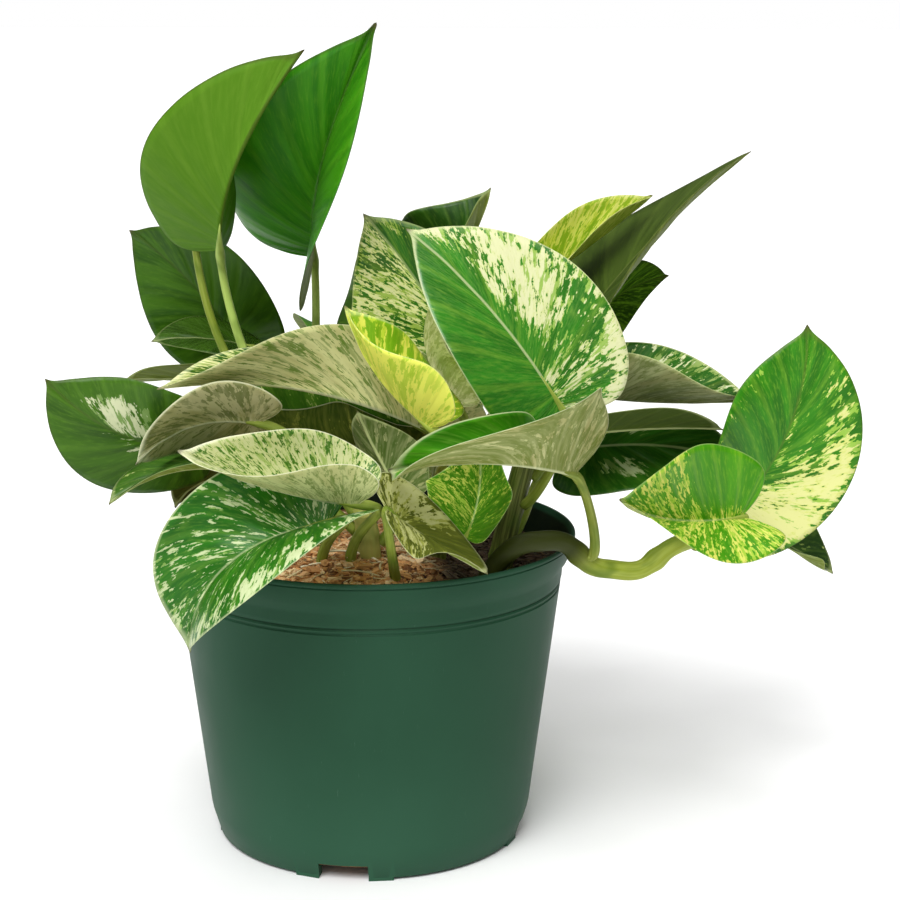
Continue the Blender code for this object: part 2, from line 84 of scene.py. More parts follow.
# Each colour is laid over the last, by its amount, where its pattern rises from low to high. Where low is
# the greater of the two, it shows where the pattern falls.
def paint(add, tone, layers):
    for pattern, low, high, amount, colour in layers:
        mask = add("ShaderNodeMapRange", {0: pattern, 1: low, 2: high, 4: amount},
                   interpolation_type="SMOOTHSTEP")
        tone = add("ShaderNodeMix", {0: mask, 6: tone, 7: colour}, 2, data_type="RGBA")
    return tone


def unit(v):
    return v / np.linalg.norm(v, axis=-1, keepdims=True)


def smoothPath(points, steps):
    p = np.array(points, float)
    ends = np.vstack([2 * p[0] - p[1], p, 2 * p[-1] - p[-2]])
    spans = len(p) - 1
    path = []
    for s in np.linspace(0, spans, steps):
        i = min(int(s), spans - 1)
        u = s - i
        a, b, c, d = ends[i:i + 4]
        path.append(0.5 * (2 * b + (c - a) * u + (2 * a - 5 * b + 4 * c - d) * u ** 2
                           + (3 * b - a - 3 * c + d) * u ** 3))
    return np.array(path)


def meshObject(name, pointsMm, faces, materials, materialIndex=None, maps={}, values={}, sharp=None):
    mesh = bpy.data.meshes.new(name)
    mesh.from_pydata((np.asarray(pointsMm, float) * mm).tolist(), [], faces)
    for material in materials:
        mesh.materials.append(material)
    if materialIndex is not None:
        mesh.polygons.foreach_set("material_index", np.asarray(materialIndex, np.int32))
    for key, corners in maps.items():
        layer = mesh.uv_layers.new(name=key)
        layer.uv.foreach_set("vector", np.asarray(corners, np.float32).ravel())
    for key, numbers in values.items():
        layer = mesh.attributes.new(key, "FLOAT", "POINT")
        layer.data.foreach_set("value", np.asarray(numbers, np.float32))
    mesh.shade_smooth()
    if sharp:
        mesh.set_sharp_from_angle(angle=math.radians(sharp))
    item = bpy.data.objects.new(name, mesh)
    bpy.context.scene.collection.objects.link(item)
    return item


def pieceName(node):
    first, *others = node.split("_")
    return first + "".join(word.capitalize() for word in others)


def standFor(item, node):
    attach(item, "root")
    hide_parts(node)


def applied(item, name):
    depsgraph = bpy.context.evaluated_depsgraph_get()
    mesh = bpy.data.meshes.new_from_object(item.evaluated_get(depsgraph), depsgraph=depsgraph)
    item.modifiers.clear()
    item.data = mesh
    item.name = name
    mesh.name = name
    return item


# A tube along a path, closed by a fan at each end; along is each point's run from the start in mm.
def tubeParts(path, radii, sides):
    tangents = unit(np.gradient(path, axis=0))
    side = np.cross(tangents[0], (0.3, 1.0, 0.2))
    angles = 2 * math.pi * np.arange(sides) / sides
    points = []
    for centre, tangent, radius in zip(path, tangents, radii):
        side = unit(side - tangent * (side @ tangent))
        up = np.cross(tangent, side)
        points.append(centre + radius * (np.cos(angles)[:, None] * side + np.sin(angles)[:, None] * up))
    count = len(path) * sides
    last = count - sides
    points = np.vstack(points + [path[:1], path[-1:]])
    faces = []
    for row in range(len(path) - 1):
        for k in range(sides):
            a = row * sides + k
            b = row * sides + (k + 1) % sides
            faces.append((a, b, b + sides, a + sides))
    for k in range(sides):
        n = (k + 1) % sides
        faces.append((count, n, k))
        faces.append((count + 1, last + k, last + n))
    runs = np.concatenate([[0], np.cumsum(np.linalg.norm(np.diff(path, axis=0), axis=1))])
    along = np.concatenate([np.repeat(runs, sides), [0, runs[-1]]])
    return points, faces, along


# The vein map of a tube: its girth in mm one way and its run in mm the other.
def tubeCorners(points, faces, along, sides, girth):
    around = np.arange(len(points)) % sides / sides * girth
    return np.concatenate([[(around[v], along[v]) for v in face] for face in faces])


# A white studio: soft key light from the front left, softer light from above, white paper below.
studio = dict(camera=(0.0, -0.7933, 0.3225), lens=88.587, sight=(0.03638978, 0.97509003, -0.21880408),
              right=(0.99932774, -0.03648288, 0.00361612), above=(0.00445657, 0.21878857, 0.97576211),
              suns=dict(keySun=((-0.3, -0.8, 1.0), 3.0, 35), topSun=((0.15, 0.1, 1.0), 1.3, 60)),
              brightest=(-0.1, -0.72, 0.68), dim=0.12, bright=0.5, floor=9000, paperGrain=25.0)


def makeStudio():
    scene = bpy.context.scene
    camera = bpy.data.cameras.new("camera")
    camera.lens, camera.sensor_width = studio["lens"], 36.0
    camera.clip_start = 0.01
    item = bpy.data.objects.new("camera", camera)
    turn = Matrix([studio["right"], studio["above"], [-c for c in studio["sight"]]]).transposed()
    item.matrix_world = Matrix.Translation(studio["camera"]) @ turn.to_4x4()
    scene.collection.objects.link(item)
    scene.camera = item
    for name, (place, strength, softness) in studio["suns"].items():
        light = bpy.data.lights.new(name, "SUN")
        light.energy = strength
        light.angle = math.radians(softness)
        item = bpy.data.objects.new(name, light)
        item.rotation_euler = Vector(place).to_track_quat("Z", "Y").to_euler()
        scene.collection.objects.link(item)

    scene.world = bpy.data.worlds.new("studioWorld")
    scene.world.use_nodes = True
    scene.world.node_tree.nodes.clear()
    add = partial(addNode, scene.world.node_tree)
    seen = add("ShaderNodeLightPath", out="Is Camera Ray")
    sight = add("ShaderNodeTexCoord", out="Generated")
    facing = add("ShaderNodeVectorMath", {0: sight, 1: studio["brightest"]}, "Value", operation="DOT_PRODUCT")
    glow = add("ShaderNodeMapRange", {0: facing, 1: -0.2, 3: studio["dim"], 4: studio["bright"]})
    strength = add("ShaderNodeMix", {0: seen, 2: glow, 3: 1.0}, data_type="FLOAT")      # a white backdrop
    sky = add("ShaderNodeBackground", {"Color": (1, 1, 1, 1), "Strength": strength})
    add("ShaderNodeOutputWorld", {0: sky})

    material, add = startMaterial("whitePaper")        # matt seamless paper, with a faint tooth
    place = add("ShaderNodeTexCoord", out="Object")
    grain = add("ShaderNodeTexNoise", {"Vector": place, "Scale": 1 / (studio["paperGrain"] * mm)})
    tone = add("ShaderNodeMix", {0: grain, 6: (0.93, 0.93, 0.93, 1), 7: (0.96, 0.96, 0.96, 1)}, 2,
               data_type="RGBA")
    skin = add("ShaderNodeBsdfPrincipled", {"Base Color": tone, "Roughness": 0.9})
    add("ShaderNodeOutputMaterial", {0: skin})
    half = studio["floor"]
    floor = meshObject("floor", [(-half, -half, 0), (half, -half, 0), (half, half, 0), (-half, half, 0)],
                       [(0, 1, 2, 3)], [material])
    scene.view_settings.view_transform = "Standard"


# The nursery pot, in millimetres. Grain gives mm across, mm up, where the pattern starts, detail, roughness.
pot = dict(height=115.0, rim=76.0, wall=1.6, foot=57.0, sides=192, creases=35,
           drains=4, firstDrain=-100.0, drainRadius=54.0, drainDepth=16.0, drainWidth=18.0, drainTop=6.2,
           padRadius=54.3, padDepth=5.2, padWidth=9.0, padTop=3.0,
           green="#20432f", light="#335a45", scuffed="#6f8a7c", soiled="#12180f", rough=(0.40, 0.52),
           grain=dict(cloud=(33.3, 55.6, 0, 3.0, 0.6), mould=(0.909, 0.909, 0, 2.0, 0.5),
                      scuff=(1.111, 16.7, 4, 4.0, 0.7)))


# Injection-moulded polypropylene gives an even satin green with a weak, wide highlight. Clouds of dust
# lighten it, most of all near the floor, with fine upright scuffs, and inside the rim the wall is painted
# dark, a painted shade.
def potSkin():
    material, add = startMaterial("satinPolypropylene")
    place = add("ShaderNodeTexCoord", out="Object")
    noise = {}
    for key, (across, upward, start, detail, rough) in pot["grain"].items():
        scale = (1 / (across * mm), 1 / (across * mm), 1 / (upward * mm))
        moved = add("ShaderNodeMapping", {0: place, 1: (start, 0, 0), 3: scale})
        noise[key] = add("ShaderNodeTexNoise", {"Vector": moved, "Scale": 1.0, "Detail": detail,
                                                "Roughness": rough})
    height = add("ShaderNodeSeparateXYZ", {0: place}, 2)
    dust = add("ShaderNodeMapRange", {0: height, 1: 0.0, 2: 0.06, 3: 0.45, 4: 0.0},
               interpolation_type="SMOOTHSTEP")
    dust = add("ShaderNodeMath", {0: noise["cloud"], 1: 0.35, 2: dust}, operation="MULTIPLY_ADD")
    tone = add("ShaderNodeMix", {0: dust, 6: linearColour(pot["green"]), 7: linearColour(pot["light"])}, 2,
               data_type="RGBA")
    tone = paint(add, tone, [(noise["scuff"], 0.66, 0.8, 0.25, linearColour(pot["scuffed"]))])

    flat = add("ShaderNodeVectorMath", {0: place, 1: (1, 1, 0)}, operation="MULTIPLY")
    radius = add("ShaderNodeVectorMath", {0: flat}, "Value", operation="LENGTH")
    midWall = add("ShaderNodeMapRange", {0: height, 1: 0.1035, 2: 0.1105, 3: 0.0706, 4: 0.0743})
    inward = add("ShaderNodeMath", {0: midWall, 1: radius}, operation="SUBTRACT")
    # Painted shade: the inner wall, from the soil up to just under the rim, is darkened.
    soiled = 1.0
    for value, low, high, amount in ((inward, 0.0, 0.0003, 1.0), (height, 0.114, 0.112, 1.0),
                                     (height, 0.095, 0.100, 0.93)):
        mask = add("ShaderNodeMapRange", {0: value, 1: low, 2: high, 4: amount},
                   interpolation_type="SMOOTHSTEP")
        soiled = add("ShaderNodeMath", {0: soiled, 1: mask}, operation="MULTIPLY")
    tone = add("ShaderNodeMix", {0: soiled, 6: tone, 7: linearColour(pot["soiled"])}, 2, data_type="RGBA")

    low, high = pot["rough"]
    rough = add("ShaderNodeMapRange", {0: noise["cloud"], 1: 0.3, 2: 0.7, 3: low, 4: high},
                interpolation_type="SMOOTHSTEP")
    relief = add("ShaderNodeMath", {0: noise["scuff"], 1: 0.2}, operation="MULTIPLY")
    relief = add("ShaderNodeMath", {0: noise["mould"], 1: 0.5, 2: relief}, operation="MULTIPLY_ADD")
    bump = add("ShaderNodeBump", {"Strength": 0.12, "Distance": 0.0002, "Height": relief})
    skin = add("ShaderNodeBsdfPrincipled", {"Base Color": tone, "Roughness": rough,
                                            "Specular IOR Level": 0.08, "Normal": bump})
    add("ShaderNodeOutputMaterial", {0: skin})
    return material


def potProfile():
    top, rim, wall = pot["height"], pot["rim"], pot["wall"]
    outer = [(54.0, 1.0), (56.6, 1.0), (57.0, 1.4), (59.6, 10.0), (60.0, 12.0), (70.45, top - 20.4),
             (70.55, top - 19.9), (70.2, top - 19.5), (70.15, top - 19.3), (70.2, top - 19.1),
             (70.6, top - 18.7), (70.75, top - 18.2), (70.45, top - 17.6), (70.35, top - 17.4),
             (70.45, top - 17.2), (70.9, top - 16.7), (71.2, top - 15.5), (71.35, top - 12.4),
             (71.8, top - 11.2), (73.3, top - 9.0), (74.4, top - 6.4), (75.0, top - 4.0),
             (75.25, top - 2.4), (75.0, top - 2.0), (75.1, top - 1.7), (rim - 0.15, top - 1.45),
             (rim, top - 1.1), (rim - 0.05, top - 0.4), (rim - 0.35, top), (rim - 1.2, top)]
    inner = [(rim - wall, top - 0.4), (75.2 - wall, top - 4.5), (71.2 - wall, top - 11.5),
             (70.6 - wall, top - 19.8), (59.6 - wall, 10.0), (56.9, 5.2), (56.2, 4.3), (55.0, 4.0),
             (20.0, 4.0)]
    under = [(20.0, 2.0), (53.2, 2.0), (53.7, 1.7)]
    return outer, inner, under


def revolve(profile, sides):
    profile = np.array(profile)
    angles = 2 * math.pi * np.arange(sides) / sides
    rings = np.stack([np.outer(profile[:, 0], np.cos(angles)), np.outer(profile[:, 0], np.sin(angles)),
                      np.repeat(profile[:, 1:], sides, 1)], -1)
    return rings.reshape(-1, 3)


def turnedBox(radius, depth, width, low, high, angle):
    along = np.array((math.cos(angle), math.sin(angle), 0.0))
    across = np.array((-math.sin(angle), math.cos(angle), 0.0))
    points = [along * (radius + a * depth / 2) + across * (b * width / 2) + np.array((0, 0, z))
              for z in (low, high) for a, b in ((-1, -1), (1, -1), (1, 1), (-1, 1))]
    return points, [(3, 2, 1, 0), (4, 5, 6, 7), (0, 1, 5, 4), (1, 2, 6, 5), (2, 3, 7, 6), (3, 0, 4, 7)]


def makePot():
    skin = potSkin()
    outer, inner, under = potProfile()
    loop = outer + inner
    sides = pot["sides"]
    points = revolve(loop + under, sides)
    rows = len(loop) + len(under)
    faces = []
    for row in range(rows):
        if row == len(loop) - 1:        # the two discs of the base close the wall here
            continue
        for k in range(sides):
            n = (k + 1) % sides
            a, b = row * sides, (row + 1) % rows * sides
            faces.append((a + k, a + n, b + n, b + k))
    last, first = (len(loop) - 1) * sides, len(loop) * sides
    faces.append(tuple(last + k for k in range(sides)))
    faces.append(tuple(first + k for k in reversed(range(sides))))
    item = meshObject("nurseryPot", points, faces, [skin], sharp=pot["creases"])
    cutters = []
    for index in range(pot["drains"]):
        angle = math.radians(pot["firstDrain"] + 360 / pot["drains"] * index)
        for side in (-1, 1):        # a low pad stands on each side of a drain notch
            turn = side * (pot["drainWidth"] + pot["padWidth"]) / 2 / pot["foot"]
            pad = turnedBox(pot["padRadius"], pot["padDepth"], pot["padWidth"], 0.0, pot["padTop"],
                            angle + turn)
            cutters.append(("UNION", pad))
        notch = turnedBox(pot["drainRadius"], pot["drainDepth"], pot["drainWidth"], -1.0, pot["drainTop"],
                          angle)
        cutters.append(("DIFFERENCE", notch))
    for k, (operation, parts) in enumerate(cutters):
        cutter = meshObject(f"cutter{k}", *parts, [skin])
        cutter.hide_render = True
        modifier = item.modifiers.new(cutter.name, "BOOLEAN")
        modifier.operation, modifier.solver, modifier.object = operation, "EXACT", cutter
    applied(item, "nurseryPot")
    for k in range(len(cutters)):
        bpy.data.objects.remove(bpy.data.objects[f"cutter{k}"], do_unlink=True)
    item.data.set_sharp_from_angle(angle=math.radians(pot["creases"]))
    standFor(item, "pot")


# Potting mix, heaped a little round the front stems. Toward the right side it is painted dark, a painted
# shade.
soil = dict(level=104.0, mound=12.0, moundCentre=(-4.0, -38.0), moundSpread=20.0, edge=71.0, rings=60,
            spokes=150, swell=0.8, crumb=2.38, patch=16.7, roughness=0.35, clods=0.7, seed=11,
            under=[(69.2, 92.0), (57.4, 8.0), (55.8, 4.8)], shadeFrom=0.014, wetTo=0.030,
            dark="#2c1a0e", brown="#8a5c36", dry="#a87a4a", wet="#1d130b")
# What lies on it: counts per square cm, sizes in mm, and how far out it lies as a share of the radius.
# Chips are balls of a few facets, and what has no facets is a strand.
litter = dict(bark=dict(skin="barkChips", facets=2, count=7.0, length=6.0, width=3.2, seed=3, reach=0.935),
              crumbs=dict(skin="barkChips", facets=1, count=34.0, length=2.4, width=1.7, seed=8, reach=0.96),
              coir=dict(skin="coirFibres", count=8.0, length=11.0, width=0.34, seed=5, reach=0.89),
              roots=dict(skin="paleRoots", count=1.6, length=16.0, width=0.8, seed=9, reach=0.84))
litterTones = dict(barkChips=("#9a6638", "#e0a86c", "#f8dcae"), coirFibres=("#b07f4a", "#dcb074", "#f4e2b8"),
                   paleRoots=("#b79c6c", "#d9c79a", "#efe6c6"))
fleckSize = 1.43        # mm, the dark flecks on bark and fibre


def soilHeight(x, y):
    distance = (x - soil["moundCentre"][0]) ** 2 + (y - soil["moundCentre"][1]) ** 2
    mound = soil["mound"] * np.exp(-distance / (2 * soil["moundSpread"] ** 2))
    return soil["level"] + mound + soil["swell"] * np.sin(x * 0.21 + 1.0) * np.sin(y * 0.17)


# Peat and fine bark: wholly matt and broken up, brown with drier crumbs on top.
def soilSkin():
    material, add = startMaterial("barkAndCoir")
    place = add("ShaderNodeTexCoord", out="Object")
    crumb, patch = 1 / (soil["crumb"] * mm), 1 / (soil["patch"] * mm)
    crumb = add("ShaderNodeTexNoise", {"Vector": place, "Scale": crumb, "Detail": 4.0, "Roughness": 0.65})
    moved = add("ShaderNodeMapping", {0: place, 1: (3, 0, 0), 3: (patch, patch, patch)})
    patch = add("ShaderNodeTexNoise", {"Vector": moved, "Scale": 1.0, "Detail": 2.0})
    rightward = add("ShaderNodeSeparateXYZ", {0: place})
    tone = paint(add, linearColour(soil["dark"]), [
        (crumb, 0.35, 0.65, 1.0, linearColour(soil["brown"])),
        (patch, 0.45, 0.7, 0.5, linearColour(soil["dry"])),
        # painted shade: toward the right side the mix is darkened
        (rightward, soil["shadeFrom"], soil["wetTo"], 0.92, linearColour(soil["wet"]))])
    bump = add("ShaderNodeBump", {"Strength": 0.9, "Distance": 0.0015, "Height": crumb})
    skin = add("ShaderNodeBsdfPrincipled", {"Base Color": tone, "Roughness": 0.95, "Normal": bump})
    add("ShaderNodeOutputMaterial", {0: skin})
    return material


# Bark, coir and roots are dry plant fibre, so matt; each chip or strand has a tint of its own.
def litterSkin(name, tones):
    material, add = startMaterial(name)
    shadow, middle, pale = (linearColour(tone) for tone in tones)
    place = add("ShaderNodeTexCoord", out="Object")
    tint = add("ShaderNodeAttribute", out="Fac", attribute_name="tint")
    fleck = add("ShaderNodeTexNoise", {"Vector": place, "Scale": 1 / (fleckSize * mm), "Detail": 3.0,
                                       "Roughness": 0.6})
    rightward = add("ShaderNodeSeparateXYZ", {0: place})
    tone = paint(add, shadow, [(tint, 0.0, 0.5, 1.0, middle), (tint, 0.6, 1.0, 1.0, pale),
                               (fleck, 0.5, 0.8, 0.5, shadow),
                               # painted shade: toward the right side the chips and strands are darkened like
                               # the mix
                               (rightward, soil["shadeFrom"], soil["wetTo"], 0.92, linearColour(soil["wet"]))])
    skin = add("ShaderNodeBsdfPrincipled", {"Base Color": tone, "Roughness": 0.9})
    add("ShaderNodeOutputMaterial", {0: skin})
    return material


# Chips are lumpy balls and strands are thin bent tubes, strewn over the surface at any angle.
def scatterTree(name, facets, skin):
    tree = bpy.data.node_groups.new(name, "GeometryNodeTree")
    add = partial(addNode, tree)
    for label, socket in (("Surface", "Geometry"), ("Count per cm2", "Float"), ("Length mm", "Float"),
                          ("Width mm", "Float"), ("Seed", "Int")):
        tree.interface.new_socket(label, in_out="INPUT", socket_type=f"NodeSocket{socket}")
    tree.interface.new_socket("Pieces", in_out="OUTPUT", socket_type="NodeSocketGeometry")
    given = add("NodeGroupInput").node.outputs
    density, length, width, sizeSeed, tintSeed = (
        add("ShaderNodeMath", {0: given[label], 1: by}, operation=how)
        for label, how, by in (("Count per cm2", "MULTIPLY", 10000.0), ("Length mm", "MULTIPLY", mm),
                               ("Width mm", "MULTIPLY", mm), ("Seed", "ADD", 3.0), ("Seed", "ADD", 5.0)))
    spread = add("GeometryNodeDistributePointsOnFaces", {"Mesh": given["Surface"], "Density": density,
                                                         "Seed": given["Seed"]}, "Points")
    if facets:
        ball = add("GeometryNodeMeshIcoSphere", {"Radius": 0.5, "Subdivisions": facets})
        lump = add("ShaderNodeTexNoise", {"Scale": 2.3, "Detail": 1.0}, "Color")
        push = add("ShaderNodeVectorMath", {0: lump, 1: (0.5, 0.5, 0.5)}, operation="SUBTRACT")
        shape = add("GeometryNodeSetPosition", {"Geometry": ball, "Offset": push})
        tilt = 0.5
    else:
        line = add("GeometryNodeCurveQuadraticBezier", {"Resolution": 7, "Start": (-0.5, 0, 0),
                                                        "Middle": (0, 0.22, 0.18), "End": (0.5, 0, 0)})
        ring = add("GeometryNodeCurvePrimitiveCircle", {"Resolution": 4, "Radius": 0.5})
        slim = add("ShaderNodeMath", {0: width, 1: length}, operation="DIVIDE")
        shape = add("GeometryNodeCurveToMesh", {"Curve": line, "Profile Curve": ring, "Scale": slim,
                                                "Fill Caps": True})
        width = length
        tilt = 0.25
    turn = add("FunctionNodeRandomValue", {0: (-tilt, -tilt, 0.0), 1: (tilt, tilt, 6.283),
                                           "Seed": given["Seed"]}, data_type="FLOAT_VECTOR")
    size = add("FunctionNodeRandomValue", {2: 0.45, 3: 1.25, "Seed": sizeSeed}, 1, data_type="FLOAT")
    tint = add("FunctionNodeRandomValue", {2: 0.0, 3: 1.0, "Seed": tintSeed}, 1, data_type="FLOAT")
    thick = add("ShaderNodeMath", {0: width, 1: 0.7}, operation="MULTIPLY")
    box = add("ShaderNodeCombineXYZ", {0: length, 1: width, 2: thick})
    scaled = add("ShaderNodeVectorMath", {0: box, "Scale": size}, operation="SCALE")
    placed = add("GeometryNodeInstanceOnPoints", {"Points": spread, "Instance": shape, "Rotation": turn,
                                                  "Scale": scaled})
    stored = add("GeometryNodeStoreNamedAttribute", {"Geometry": placed, "Name": "tint", "Value": tint},
                 data_type="FLOAT", domain="INSTANCE")
    real = add("GeometryNodeRealizeInstances", {0: stored})
    dressed = add("GeometryNodeSetMaterial", {"Geometry": real, "Material": skin})
    add("NodeGroupOutput", {"Pieces": dressed})
    return tree


def scatter(item, name, bit, skin):
    modifier = item.modifiers.new(name, "NODES")
    modifier.node_group = scatterTree(name, bit.get("facets", 0), skin)
    wanted = {"Count per cm2": bit["count"], "Length mm": bit["length"], "Width mm": bit["width"],
              "Seed": bit["seed"]}
    for socket in modifier.node_group.interface.items_tree:
        if socket.name in wanted:
            modifier[socket.identifier] = wanted[socket.name]
    return applied(item, name)


def makeSoil():
    rings, spokes = soil["rings"], soil["spokes"]
    fractions = np.linspace(0, 1, rings + 1)[1:]
    angles = 2 * math.pi * np.arange(spokes) / spokes
    x = soil["edge"] * np.outer(fractions, np.cos(angles))
    y = soil["edge"] * np.outer(fractions, np.sin(angles))
    dice = np.random.default_rng(soil["seed"])
    clods = soil["clods"] * np.sin(x * 0.9 + 2 * np.sin(y * 0.5)) * np.sin(y * 0.8)      # about 7 mm across
    rough = dice.normal(0, soil["roughness"], x.shape) + clods
    rough *= np.clip((1 - fractions) * 12, 0, 1)[:, None]       # level where it meets the wall
    z = soilHeight(x, y) + rough
    top = np.stack([x, y, z], -1).reshape(-1, 3)
    low = revolve(soil["under"], spokes)
    points = np.vstack([[(0, 0, soilHeight(0, 0))], top, low, [(0, 0, soil["under"][-1][1])]])
    faces = [(0, 1 + k, 1 + (k + 1) % spokes) for k in range(spokes)]
    for row in range(rings + 2):
        for k in range(spokes):
            n = (k + 1) % spokes
            a, b = 1 + row * spokes, 1 + (row + 1) * spokes
            faces.append((a + k, b + k, b + n, a + n))
    last = 1 + (rings + 2) * spokes
    faces += [(len(points) - 1, last + (k + 1) % spokes, last + k) for k in range(spokes)]
    standFor(meshObject("pottingMix", points, faces, [soilSkin()]), "soil")
    skins = {name: litterSkin(name, tones) for name, tones in litterTones.items()}
    for name, bit in litter.items():
        kept = 1 + int(rings * bit["reach"]) * spokes       # nothing lies where it could poke the wall
        bed = meshObject("bed", points[:kept], [face for face in faces if max(face) < kept], [])
        item = scatter(bed, name, bit, skins[bit["skin"]])
        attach(item, "root")


# Leaf shapes, in millimetres. The outline's points are halves of the width, and the share of the length
# from the stalk joint (0) to the tip (1). Bands and knees are lengths in mm on each side of their middle.
halfOutline = [(0, 0), (0.30, -0.085), (0.62, -0.10), (0.87, 0.02), (1.0, 0.22), (0.98, 0.42),
               (0.82, 0.61), (0.56, 0.775), (0.29, 0.89), (0.075, 0.96), (0.0, 1.0)]
blade = dict(rows=73, columns=13, crowding=1.2, veinPower=2.6, veins=9, thickness=0.42, thinEdge=0.35,
             edgeBand=3.0, ripple=0.20, wave=0.8, waves=(1.6, 2.8), fullWidth=24, groove=0.35, grooveBand=1.3,
             ridge=0.75, ridgeBand=1.0, dryTip=(0.965, 0.03), strokeSoft=(0.018, 0.05), rightShift=300.0)
stalk = dict(radius=1.7, sides=12, steps=26, slim=0.86, flare=0.34, knee=0.22, kneeAt=3.5, kneeBand=3.0,
             underBlade=(0.35, 0.7, 1.1), girth=10)
stemShape = dict(sides=24, steps=26, joints=(0.45, 0.75), swell=0.7, swellBand=0.02, girth=20)


def leafFrame(leaf):
    base = np.array(leaf["base"], float)
    chord = np.array(leaf["tip"], float) - base
    length = float(np.linalg.norm(chord))
    along = chord / length
    faces = np.array(leaf["faces"], float)
    up = unit(faces - along * (faces @ along))
    return base, length, along, up, np.cross(along, up)


def midrib(leaf, t):
    base, length, along, up, right = leafFrame(leaf)
    t = np.asarray(t, float)[..., None]
    bulge = np.where(t < 0, 4 * t, 4 * t * (1 - t))
    return base + t * length * along + bulge * (leaf.get("arch", 0) * up + leaf.get("sweep", 0) * right)


# Each half is folded up from the midrib and curls on toward its edge, as a round bend of even radius.
def bladePoints(leaf, side, across, t):
    *_, up, right = leafFrame(leaf)
    half = 0 if side < 0 else 1
    width = leaf["width"][half]
    tangent = unit(midrib(leaf, t + 0.001) - midrib(leaf, t - 0.001))
    turn = (math.radians(leaf.get("twist", 0)) * (np.clip(t, 0, 1) - 0.5))[..., None]
    normal = np.cos(turn) * up + np.sin(turn) * right
    normal = unit(normal - tangent * (normal * tangent).sum(-1, keepdims=True))
    outward = side * np.cross(tangent, normal)
    fold = math.radians(leaf["fold"][half])
    bend = math.radians(leaf["curl"][half] or 0.01) / width
    angle = (fold + bend * across * width)[..., None]
    out = (np.sin(angle) - math.sin(fold)) / bend
    rise = (math.cos(fold) - np.cos(angle)) / bend
    return midrib(leaf, t) + out * outward + rise * normal, np.cos(angle) * normal - np.sin(angle) * outward


# 1 between low and high, and falling away softly on both sides.
def softBox(value, low, high, soft):
    return 1 / (1 + np.exp(-(value - low) / soft)) * 1 / (1 + np.exp((value - high) / soft))


# u runs along the midrib and r out along a side vein, so that the grid and its colours follow the veins.
def halfBlade(leaf, look, side, phase, turns):
    half = 0 if side < 0 else 1
    width, length = leaf["width"][half], leafFrame(leaf)[1]
    u = np.linspace(0, 1, blade["rows"])[:, None]
    r = np.linspace(0, 1, blade["columns"] + 1)[None, :] ** blade["crowding"]
    outline = smoothPath(halfOutline, blade["rows"])
    out, reach = outline[:, :1], outline[:, 1:]
    reach = np.where(reach < 0, reach * leaf.get("lobe", 1.0), reach)
    t = u ** blade["veinPower"] * (1 - r) + r * reach
    points, up = bladePoints(leaf, side, r * out, t)
    rib, edge = r * out * width, (1 - r) * out * width
    ripple = blade["ripple"] * np.cos(2 * math.pi * blade["veins"] * u) * np.sin(math.pi * r) ** 0.6
    wave = blade["wave"] * np.sin(2 * math.pi * turns * u + phase + side) * r ** 2 * np.sin(math.pi * u)
    lift = (ripple + wave) * min(1.0, width / blade["fullWidth"])
    lift = lift - blade["groove"] * np.exp(-(rib / blade["grooveBand"]) ** 2)
    bias = look["bias"][half] + 0 * rib
    softU, softR = blade["strokeSoft"]
    for strokeSide, uLow, uHigh, rLow, rHigh, amount in look["strokes"]:
        if strokeSide in (0, side):
            bias = bias + amount * softBox(u, uLow, uHigh, softU) * softBox(r, rLow, rHigh, softR)
    start, run = blade["dryTip"]
    return dict(points=points + lift[..., None] * up, up=up, rib=side * rib, edge=edge, bias=bias, t=t,
                tip=np.clip((t - start) / run, 0, 1), veinX=u * length + 0 * rib, veinY=r * width + 0 * rib)


# The upper face, the lower face and the rim between them, with which faces lie on the right half.
def bladeFaces():
    rows, columns = blade["rows"], blade["columns"]
    wide = 2 * columns + 1
    count = 2 + (rows - 2) * wide
    inner = slice(1, rows - 1)
    index = np.zeros((rows, wide), int)         # the stalk joint is point 0 and the tip is point 1
    index[-1] = 1
    index[inner] = 2 + np.arange(count - 2).reshape(rows - 2, wide)
    a, b = index[1:-2, :-1].ravel(), index[1:-2, 1:].ravel()
    c, d = index[2:-1, 1:].ravel(), index[2:-1, :-1].ravel()
    quads = np.stack([a, b, c, d], 1)
    baseFan = np.stack([0 * index[1, 1:], index[1, 1:], index[1, :-1]], 1)
    tipFan = np.stack([index[-2, :-1], index[-2, 1:], 1 + 0 * index[-2, 1:]], 1)
    rim = np.concatenate([[0], index[inner, -1], [1], index[inner, 0][::-1]])
    nextRim = np.roll(rim, -1)
    rimQuads = np.stack([nextRim, rim, count + rim, count + nextRim], 1)
    upper = [quads, baseFan, tipFan]
    lower = [part[:, ::-1] + count for part in upper]
    fanRight = np.arange(wide - 1) >= columns
    faceRight = [np.tile(fanRight, rows - 3), fanRight, fanRight]
    rights = faceRight + faceRight + [np.arange(len(rim)) < rows]
    kinds = [0, 0, 0, 1, 1, 1, 0]               # upper skin, lower skin, and the rim with the upper one
    return upper + lower + [rimQuads], rights, kinds


